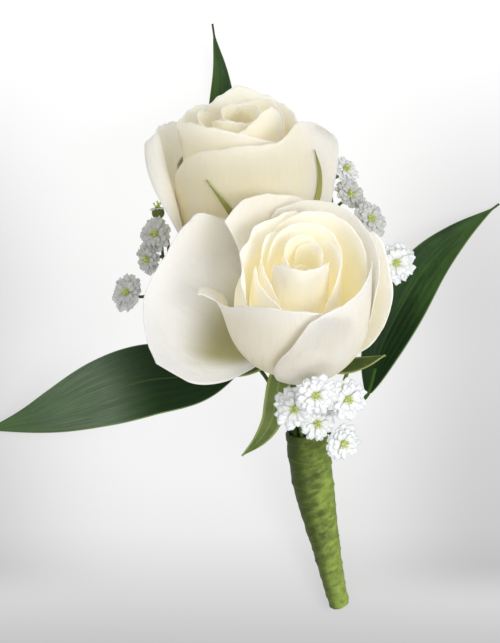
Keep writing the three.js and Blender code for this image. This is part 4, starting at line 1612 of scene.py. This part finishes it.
LEAVES = (
    Leaf("leaf_left",
         ((0.6, -8.8, 14.2), (-3.8, -10.6, 15), (-9, -12.1, 15), (-18.8, -13.1, 13.5),
          (-28, -15.7, 10.5), (-38.3, -19.6, 6.5), (-45.5, -22, 3.2), (-55.7, -24.4, 0.3)),
         7.6, 0.16, ((4.6, -8.6, 13.4), (8.4, -12.6, 13.6), (10.3, -17.2, 15.2)),
         Berth(-2.25, 0.95, 0.4), roll=6, wave=0.3, lit_side=-0.1, lit_tip=0.7,
         haze=(0.0, 0.0, 0.2, 0.95, 0.85, 0.5, 0.2), seed=1.0),
    Leaf("leaf_right",
         ((26.9, -15.6, 13), (29.4, -7.2, 13.5), (33.2, 1.1, 12.5), (39, 10.4, 9.5),
          (45.8, 17.2, 5.8), (55.4, 24.2, 0.3)),
         5.2, 0.3, ((24.6, -18, 13), (20.6, -19.6, 13.8)), Berth(2.55, -0.7, 0.36),
         roll=-4, wave=0.25, lit_side=0.2, lit_tip=0.4, haze=(0.0, 0.08, 0.2), seed=4.0),
    Leaf("leaf_top",
         ((2.4, 6, 3.2), (0.4, 12.6, 1.4), (-1.4, 21, 0.24), (-2.6, 32, 0.24),
          (-3.5, 42, 0.9), (-4.1, 52.4, 3), (-5.2, 58.7, 4.6), (-5.7, 62.1, 5.6)),
         4.7, 0.04, ((4.6, 0.6, 4.4), (8.6, -9.6, 6.6), (12, -18, 9.4)),
         Berth(0.85, -2.35, 0.32), lit_side=-0.6, lit_tip=0.2, haze=(0.1, 0.1, 0.2), seed=7.0),
)


# Florets.


@dataclass(frozen=True)
class Whorl:
    """A ring of a floret's petals.

    size is their length as a share of the floret's radius, lift how far they stand up, in
    radians, and shift how far the ring is turned, in steps from petal to petal.
    """

    count: int
    size: float
    lift: float
    shift: float


WHORLS = (Whorl(7, 1.0, 0.1, 0.0), Whorl(6, 0.84, 0.42, 0.45), Whorl(5, 0.62, 0.8, 0.2))


@dataclass(frozen=True)
class Floret:
    """A double floret: whorls of notched, ruffled petals on a small green calyx."""

    at: Spot
    facing: Spot
    radius: float
    spin: float = 0.0
    via: Path = ()
    thick: float = 0.15
    knob_radius: float = 0.62
    styles: int = 6

    def frame(self) -> tuple[Points, Points, Points]:
        """Finds the floret's directions.

        Returns:
            Two directions across it and the one that it faces.
        """
        face = unit(np.array(self.facing, float))
        right = unit(np.cross((0.0, 1.0, 0.05), face))
        return right, np.cross(face, right), face

    def place(self, points: Points) -> Points:
        """Returns points of the floret's frame in the frame of the bunch."""
        return placed(np.asarray(points, float), self.at, self.frame())

    def draw(self, draft: Draft, chance: np.random.Generator, dull: float = 0.0) -> None:
        """Adds the floret's petals and its eye to a draft.

        Args:
            draft: The draft.
            chance: Where its small irregularities come from.
            dull: How far painted shade greys its white.
        """
        across, along = np.linspace(-1, 1, 13), np.linspace(0, 1, 14)
        for whorl in WHORLS:
            for number in range(whorl.count):
                step = number + whorl.shift + chance.uniform(-0.14, 0.14)
                turn = 2 * math.pi * step / whorl.count + math.radians(self.spin)
                length = self.radius * whorl.size * chance.uniform(0.86, 1.06)
                lift = whorl.lift + chance.uniform(-0.16, 0.16)
                grid = self._petal(across, along, length, lift, chance.uniform(0, 6))
                ahead, aside, high = np.moveaxis(grid, -1, 0)
                x = ahead * math.cos(turn) - aside * math.sin(turn)
                y = ahead * math.sin(turn) + aside * math.cos(turn)
                spun = self.place(np.stack([x, y, high], -1))
                rows = 0.12 + 0.88 * along
                draft.add_sheet(spun, self.thick, across, rows, seed=turn, dull=dull)
        self._eye(draft, chance, dull)

    def _eye(self, draft: Draft, chance: np.random.Generator, dull: float) -> None:
        """Adds the knob and the short styles in the middle of the floret.

        Args:
            draft: The draft.
            chance: Where their small irregularities come from.
            dull: How far painted shade greys the floret's white.
        """
        knob = Spine([(0.0, 0.0, height) for height in (-0.3, 0.3, 0.9)])
        stubs = [(knob, lambda share: self.knob_radius * math.cos(1.45 * share**2))]
        for number in range(self.styles):
            turn = 2 * math.pi * (number + chance.uniform(-0.3, 0.3)) / self.styles
            lean = chance.uniform(0.4, 0.95)
            root = (0.3 * math.cos(turn), 0.3 * math.sin(turn), 0.3)
            tip = (lean * math.cos(turn), lean * math.sin(turn), 1.25 + chance.uniform(0, 0.5))
            middle = tuple((low + high) / 2 for low, high in zip(root, tip))
            stubs.append((Spine((root, middle, tip)), lambda share: 0.11 + 0.12 * share**4))
        for line, radius in stubs:
            halfway = line.samples // 2
            route = Spine(self.place(line.line[::halfway]))
            draft.add_bar(route, radius, 8, 8, along=0.0, seed=1.0, dull=dull * 0.5)

    @staticmethod
    def _petal(across: Points, along: Points, length: float, lift: float, seed: float) -> Points:
        """Shapes one small petal that points along x.

        Args:
            across: Places from one edge, -1, to the other, 1.
            along: Places from its foot, 0, to its notched end, 1.
            length: Its length.
            lift: How far it stands up, in radians.
            seed: What its ruffle starts from.

        Returns:
            The grid of its middle points.
        """
        share = along[:, None]
        claw = np.sin(math.pi / 2 * np.minimum(1, 0.1 + share)) ** 1.4
        notch = 0.17 * np.exp(-((across / 0.25) ** 2)) + 0.17 * across**4
        notch = notch + 0.04 * np.sin(11 * across + seed)
        reach = share * length * (1 - share**2 * notch)
        angle = lift * (1 - 0.6 * share**2)
        cup = 0.12 * length * across**2 * share
        ruffle = 0.075 * length * np.sin(5 * across + seed) * share**2
        high = reach * np.sin(angle) + cup + ruffle - 0.1
        return np.stack([0.35 + reach * np.cos(angle), across * (length * 0.47 * claw), high], -1)


@dataclass(frozen=True)
class Bud:
    """A round green bud: its middle and its radius."""

    at: Spot
    radius: float


@dataclass
class Spray:
    """A spray of florets: a stem out of the handle, its fork, and a twig to each floret."""

    name: str
    berth: Berth
    fork: Spot
    florets: tuple[Floret, ...]
    stem: Path = ()
    buds: tuple[Bud, ...] = ()
    dull: tuple[float, ...] = (0.0, 0.0, 0.0, 0.0, 0.0)
    stem_radius: float = 0.42
    twig_radius: float = 0.33
    cup_radius: float = 0.95
    cup_end: float = 2.6
    cup_rise: float = 1.6

    def build(self, petal: bpy.types.Material, green: bpy.types.Material) -> None:
        """Builds the florets and the green of the spray as two pieces.

        Args:
            petal: The florets' material.
            green: The material of the stems.
        """
        chance = np.random.default_rng(len(self.name) * 7 + len(self.florets))
        petals, stems = Draft(), Draft()
        main = Route([*HANDLE.berth(self.berth)[::-1], *self.stem, self.fork])
        stems.add_bar(main, self.stem_radius, sides=10, seed=0.5)
        for floret, dull in zip(self.florets, self.dull):
            floret.draw(petals, chance, dull)
            self._twig(stems, floret)
        for bud in self.buds:
            self._bud(stems, petals, bud)
        petals.piece(f"{self.name}_florets", petal, "floret", self.name)
        stems.piece(f"{self.name}_stems", green, "calyx", self.name)

    def _twig(self, stems: Draft, floret: Floret) -> None:
        """Adds the twig of a floret, which widens into its calyx.

        Args:
            stems: The draft of the green.
            floret: The floret.
        """
        ends = [floret.place((0, 0, height)) for height in (-4.4, -2.4, 0.0)]
        route = Route([self.fork, *floret.via, *ends])

        def radius(share: float) -> float:
            """Returns the twig's radius, which grows round as it reaches the floret."""
            left = route.length * (1 - share)
            grown = min(1.0, max(0.0, (self.cup_end - left) / self.cup_rise))
            return max(self.twig_radius, self.cup_radius * math.sin(math.pi / 2 * grown))

        stems.add_bar(route, radius, sides=10, count=70, seed=2.1)

    def _bud(self, stems: Draft, petals: Draft, bud: Bud) -> None:
        """Adds a round green bud with a white tip, on its twig.

        Args:
            stems: The draft of the green.
            petals: The draft of the white.
            bud: The bud.
        """
        route = Route([self.fork, bud.at])
        stems.add_bar(route, self.twig_radius, sides=8, count=20, seed=1.0)
        at, away = np.array(bud.at), route.along(1.0)
        ball = Route([at - away * bud.radius, at, at + away * bud.radius])
        stems.add_bar(
            ball,
            lambda share: bud.radius * math.sqrt(max(0.02, 1 - (2 * share - 1) ** 2)),
            sides=16,
            count=16,
            seed=1.0,
        )
        tip = Floret(tuple(at + away * bud.radius * 0.6), tuple(away), bud.radius * 0.9)
        tip.draw(petals, np.random.default_rng(3))


SPRAYS = (
    Spray("spray_front", Berth(-0.95, 2.65, 0.3), (13.8, -21.6, 20.5), (
        Floret((15.1, -15.2, 48.6), (0, -0.25, 1), 3.9, 0, ((14.4, -18.8, 30), (14.9, -18, 39))),
        Floret((11.2, -18.2, 38.9), (-0.25, -0.2, 1), 4.2, 25),
        Floret((15.8, -21.2, 33), (0.05, -0.35, 1), 3.6, 50),
        Floret((21.6, -16.3, 38), (0.4, -0.15, 1), 3.9, 10),
        Floret((21.1, -25.6, 25.5), (0.45, -0.35, 1), 3.7, 30),
    )),
    Spray("spray_left", Berth(-2.82, -0.5, 0.24), (-15.2, 5.6, 10.5), (
        Floret((-17.3, 17.3, 14.6), (-0.5, 0.25, 0.8), 3.6, 0),
        Floret((-18.9, 12.2, 14), (-0.7, -0.1, 0.7), 3.2, 30),
        Floret((-23.3, 5.2, 12.6), (-0.6, 0.2, 0.8), 3.7, 15),
    ), stem=((7.9, -18.2, 11.9), (6.2, -13.6, 10.3), (1.8, -8.2, 9.6), (-8, -0.6, 9)),
        buds=(Bud((-17, 21.9, 11.4), 1.35),), dull=(0.5, 0.6, 0.4)),
    Spray("spray_right", Berth(2.76, 0.7, 0.26), (24.4, -2.4, 17), (
        Floret((31.8, 11, 27.2), (0.3, 0.1, 1), 4.3, 0),
        Floret((26.8, 20, 23), (0.55, 0.4, 0.75), 3.8, 20),
        Floret((22.8, 25.2, 19.2), (0.5, 0.5, 0.7), 3.4, 40),
        Floret((21.9, 30.6, 15.2), (0.6, 0.5, 0.6), 3.0, 10),
    ), stem=((21.5, -14, 15.6),), dull=(0.0, 0.55, 0.6, 0.1)),
)

CALYCES = (
    Calyx("front_rose", FRONT_HEAD, FRONT_PETALS, ((10.1, -11.4, 22.6), (11.2, -16.5, 18.6)),
          1.35, Berth(0.75, 1.45, 0.7),
          free=(
              FreeSepal(79, ((1, -1.6), (4, -2), (7, -2.2), (12, -1), (16, 2), (19.2, 5.6)), 2.5),
              FreeSepal(150, ((1, -1.6), (4, -1.9), (7, -2.2), (11, -0.8), (14.5, 2.4)), 2.1),
              FreeSepal(205, ((1, -1.6), (4, -1.9), (7, -2), (11, -0.4), (14, 3)), 2.1),
              FreeSepal(280, ((1, -1.6), (3.4, -2.4), (6, -4), (9, -6.5), (12, -8)), 2.1),
          ),
          hanging=(((9.9, -9.9, 24.6), (8.3, -12.8, 25.2), (7.5, -17, 23.4),
                    (6.6, -21.4, 20.2), (4.2, -25.4, 17), (0.6, -28.8, 14.6)),)),
    Calyx("back_rose", BACK_HEAD, BACK_PETALS,
          ((3.9, 3.4, 8.4), (6.2, -6, 8.6), (9.6, -15.6, 10)), 1.25, Berth(-1, -1.4, 0.44),
          laid=(
              LaidSepal(10, ((-0.05, 0.06), (-0.12, 0.35), (-0.19, 0.57), (-0.3, 0.71),
                             (-0.45, 0.85)), 1.05, 0.7),
              LaidSepal(10, ((0.2, 0.08), (0.5, 0.38), (0.7, 0.54), (0.8, 0.67), (0.73, 0.84)),
                        1.0, 0.0),
              LaidSepal(12, ((0, 0.12), (0.05, 0.35), (0.05, 0.62)), 1.25, 3.4),
              LaidSepal(11, ((0.1, 0.12), (0.05, 0.35), (0, 0.62)), 1.25, 2.4),
          ),
          free=(FreeSepal(235, ((1, -1.7), (2.4, -2.2), (4, -3.2), (4.8, -7), (4.4, -11)), 1.8),)),
)


# Stage.


@dataclass(frozen=True)
class SoftLight:
    """A soft square light: its place and its side, in metres, and its power, in watts."""

    name: str
    place: Spot
    size: float
    power: float


@dataclass
class Studio:
    """The pale ground, the soft lights and the camera that looks straight down.

    The bunch is bunch_length millimetres long and bunch_pixels pixels long in the photograph,
    which is height pixels high. The shade lies to both sides of shade_middle, in metres, and
    each of its fades goes from none to full between two places from front to back.
    """

    bunch_length: float = 125.0
    bunch_pixels: float = 585.0
    height: int = 643
    lens: float = 150.0
    sensor: float = 36.0
    clip_start: float = 0.01
    middle: tuple[float, float] = (2.2436, -0.8547)
    ground_size: float = 1.6
    ground_grey: float = 0.12
    ground_span: tuple[float, float] = (-0.075, 0.075)
    ground_tones: FlatPath = ((0.0, 0.35), (0.2, 0.7), (0.45, 0.87), (1.0, 0.9))
    shade_middle: float = -0.005
    shade_reach: float = 0.0594
    shade_power: float = 2.2
    shade_depth: float = 0.38
    shade_fades: FlatPath = ((0.07, 0.0), (-0.062, -0.052))
    sky_strength: float = 0.38
    lit_place: Spot = (0.0, 0.0, 0.02)
    lights: tuple[SoftLight, ...] = (
        SoftLight("key_light", (0.3, -0.02, 0.5), 0.3, 2.2),
        SoftLight("fill_light", (-0.36, 0.12, 0.45), 0.45, 0.6),
        SoftLight("low_light", (0.05, -0.45, 0.3), 0.35, 0.9),
    )

    def build(self) -> None:
        """Builds the stage."""
        self._ground()
        self._sky()
        for light in self.lights:
            self._light(light)
        self._camera()

    def _paper(self) -> bpy.types.Material:
        """Makes the ground's paper, which glows with painted light and deepens in grey, as painted
        shade, towards the front and the sides.

        Returns:
            The material.
        """
        shader = Shader("ground_paper")
        side, place = (
            shader.node("ShaderNodeSeparateXYZ", {}, {0: shader.place()}, axis) for axis in "XY"
        )
        front, back = self.ground_span
        tone = shader.node(
            "ShaderNodeValToRGB",
            {"stops": [(stop, (grey, grey, grey)) for stop, grey in self.ground_tones]},
            {0: (place - front) * (1 / (back - front))},
        )
        away = abs(side - self.shade_middle).ramp(0.0, self.shade_reach) ** self.shade_power
        away = away * self.shade_depth
        for none, full in self.shade_fades:
            away = away * place.ramp(none, full)
        # The ground glows with painted light; painted shade greys it towards the front and the
        # sides.
        return shader.finish(
            Base_Color=(self.ground_grey,) * 3,
            Roughness=0.9,
            Emission_Color=shader.glaze(tone, (away, (0.0, 0.0, 0.0))),
            Emission_Strength=1.0,
        )

    def _ground(self) -> None:
        """Lays the ground."""
        mesh = bpy.data.meshes.new("ground")
        size = self.ground_size
        corners = [(-size, -size, 0), (size, -size, 0), (size, size, 0), (-size, size, 0)]
        mesh.from_pydata(corners, [], [(0, 1, 2, 3)])
        mesh.materials.append(self._paper())
        ground = show("ground", mesh)

    def _sky(self) -> None:
        """Fills the surroundings with even soft light."""
        world = bpy.data.worlds.new("soft_white")
        bpy.context.scene.world = world
        world.use_nodes = True
        background = world.node_tree.nodes["Background"]
        background.inputs["Color"].default_value = (1, 1, 1, 1)
        background.inputs["Strength"].default_value = self.sky_strength
        bpy.context.scene.view_settings.view_transform = "Standard"

    def _light(self, light: SoftLight) -> None:
        """Adds a soft square light that faces the bunch.

        Args:
            light: The light's measures.
        """
        data = bpy.data.lights.new(light.name, "AREA")
        data.size = light.size
        data.energy = light.power
        lamp = show(light.name, data)
        lamp.location = light.place
        towards = Vector(self.lit_place) - Vector(light.place)
        lamp.rotation_euler = towards.to_track_quat("-Z", "Y").to_euler()

    def _camera(self) -> None:
        """Sets the camera above the bunch, looking straight down."""
        data = bpy.data.cameras.new("overhead")
        data.lens = self.lens
        data.sensor_width = self.sensor
        data.clip_start = self.clip_start
        camera = show("overhead", data)
        pixel = self.bunch_length / self.bunch_pixels
        away = self.height * pixel / self.sensor * self.lens
        camera.location = (self.middle[0] * MM, self.middle[1] * MM, away * MM)
        bpy.context.scene.camera = camera


def main() -> None:
    """Builds the boutonniere and its stage."""
    logging.basicConfig(level=logging.INFO, format="%(message)s")
    Studio().build()
    petal = PetalFinish("rose_petal").material()
    green = GreenFinish("fresh_green").material()
    Rose("front_rose", FRONT_HEAD, FRONT_PETALS).build(petal)
    Rose("back_rose", BACK_HEAD, BACK_PETALS).build(petal)
    for calyx in CALYCES:
        calyx.build(green)
    leaf = LeafFinish("leaf_green").material()
    for blade in LEAVES:
        blade.build(leaf)
    floret = FloretFinish("floret_white").material()
    for spray in SPRAYS:
        spray.build(floret, green)
    HANDLE.build(TapeFinish("stem_tape_olive").material())
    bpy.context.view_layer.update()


if __name__ == "__main__":
    main()
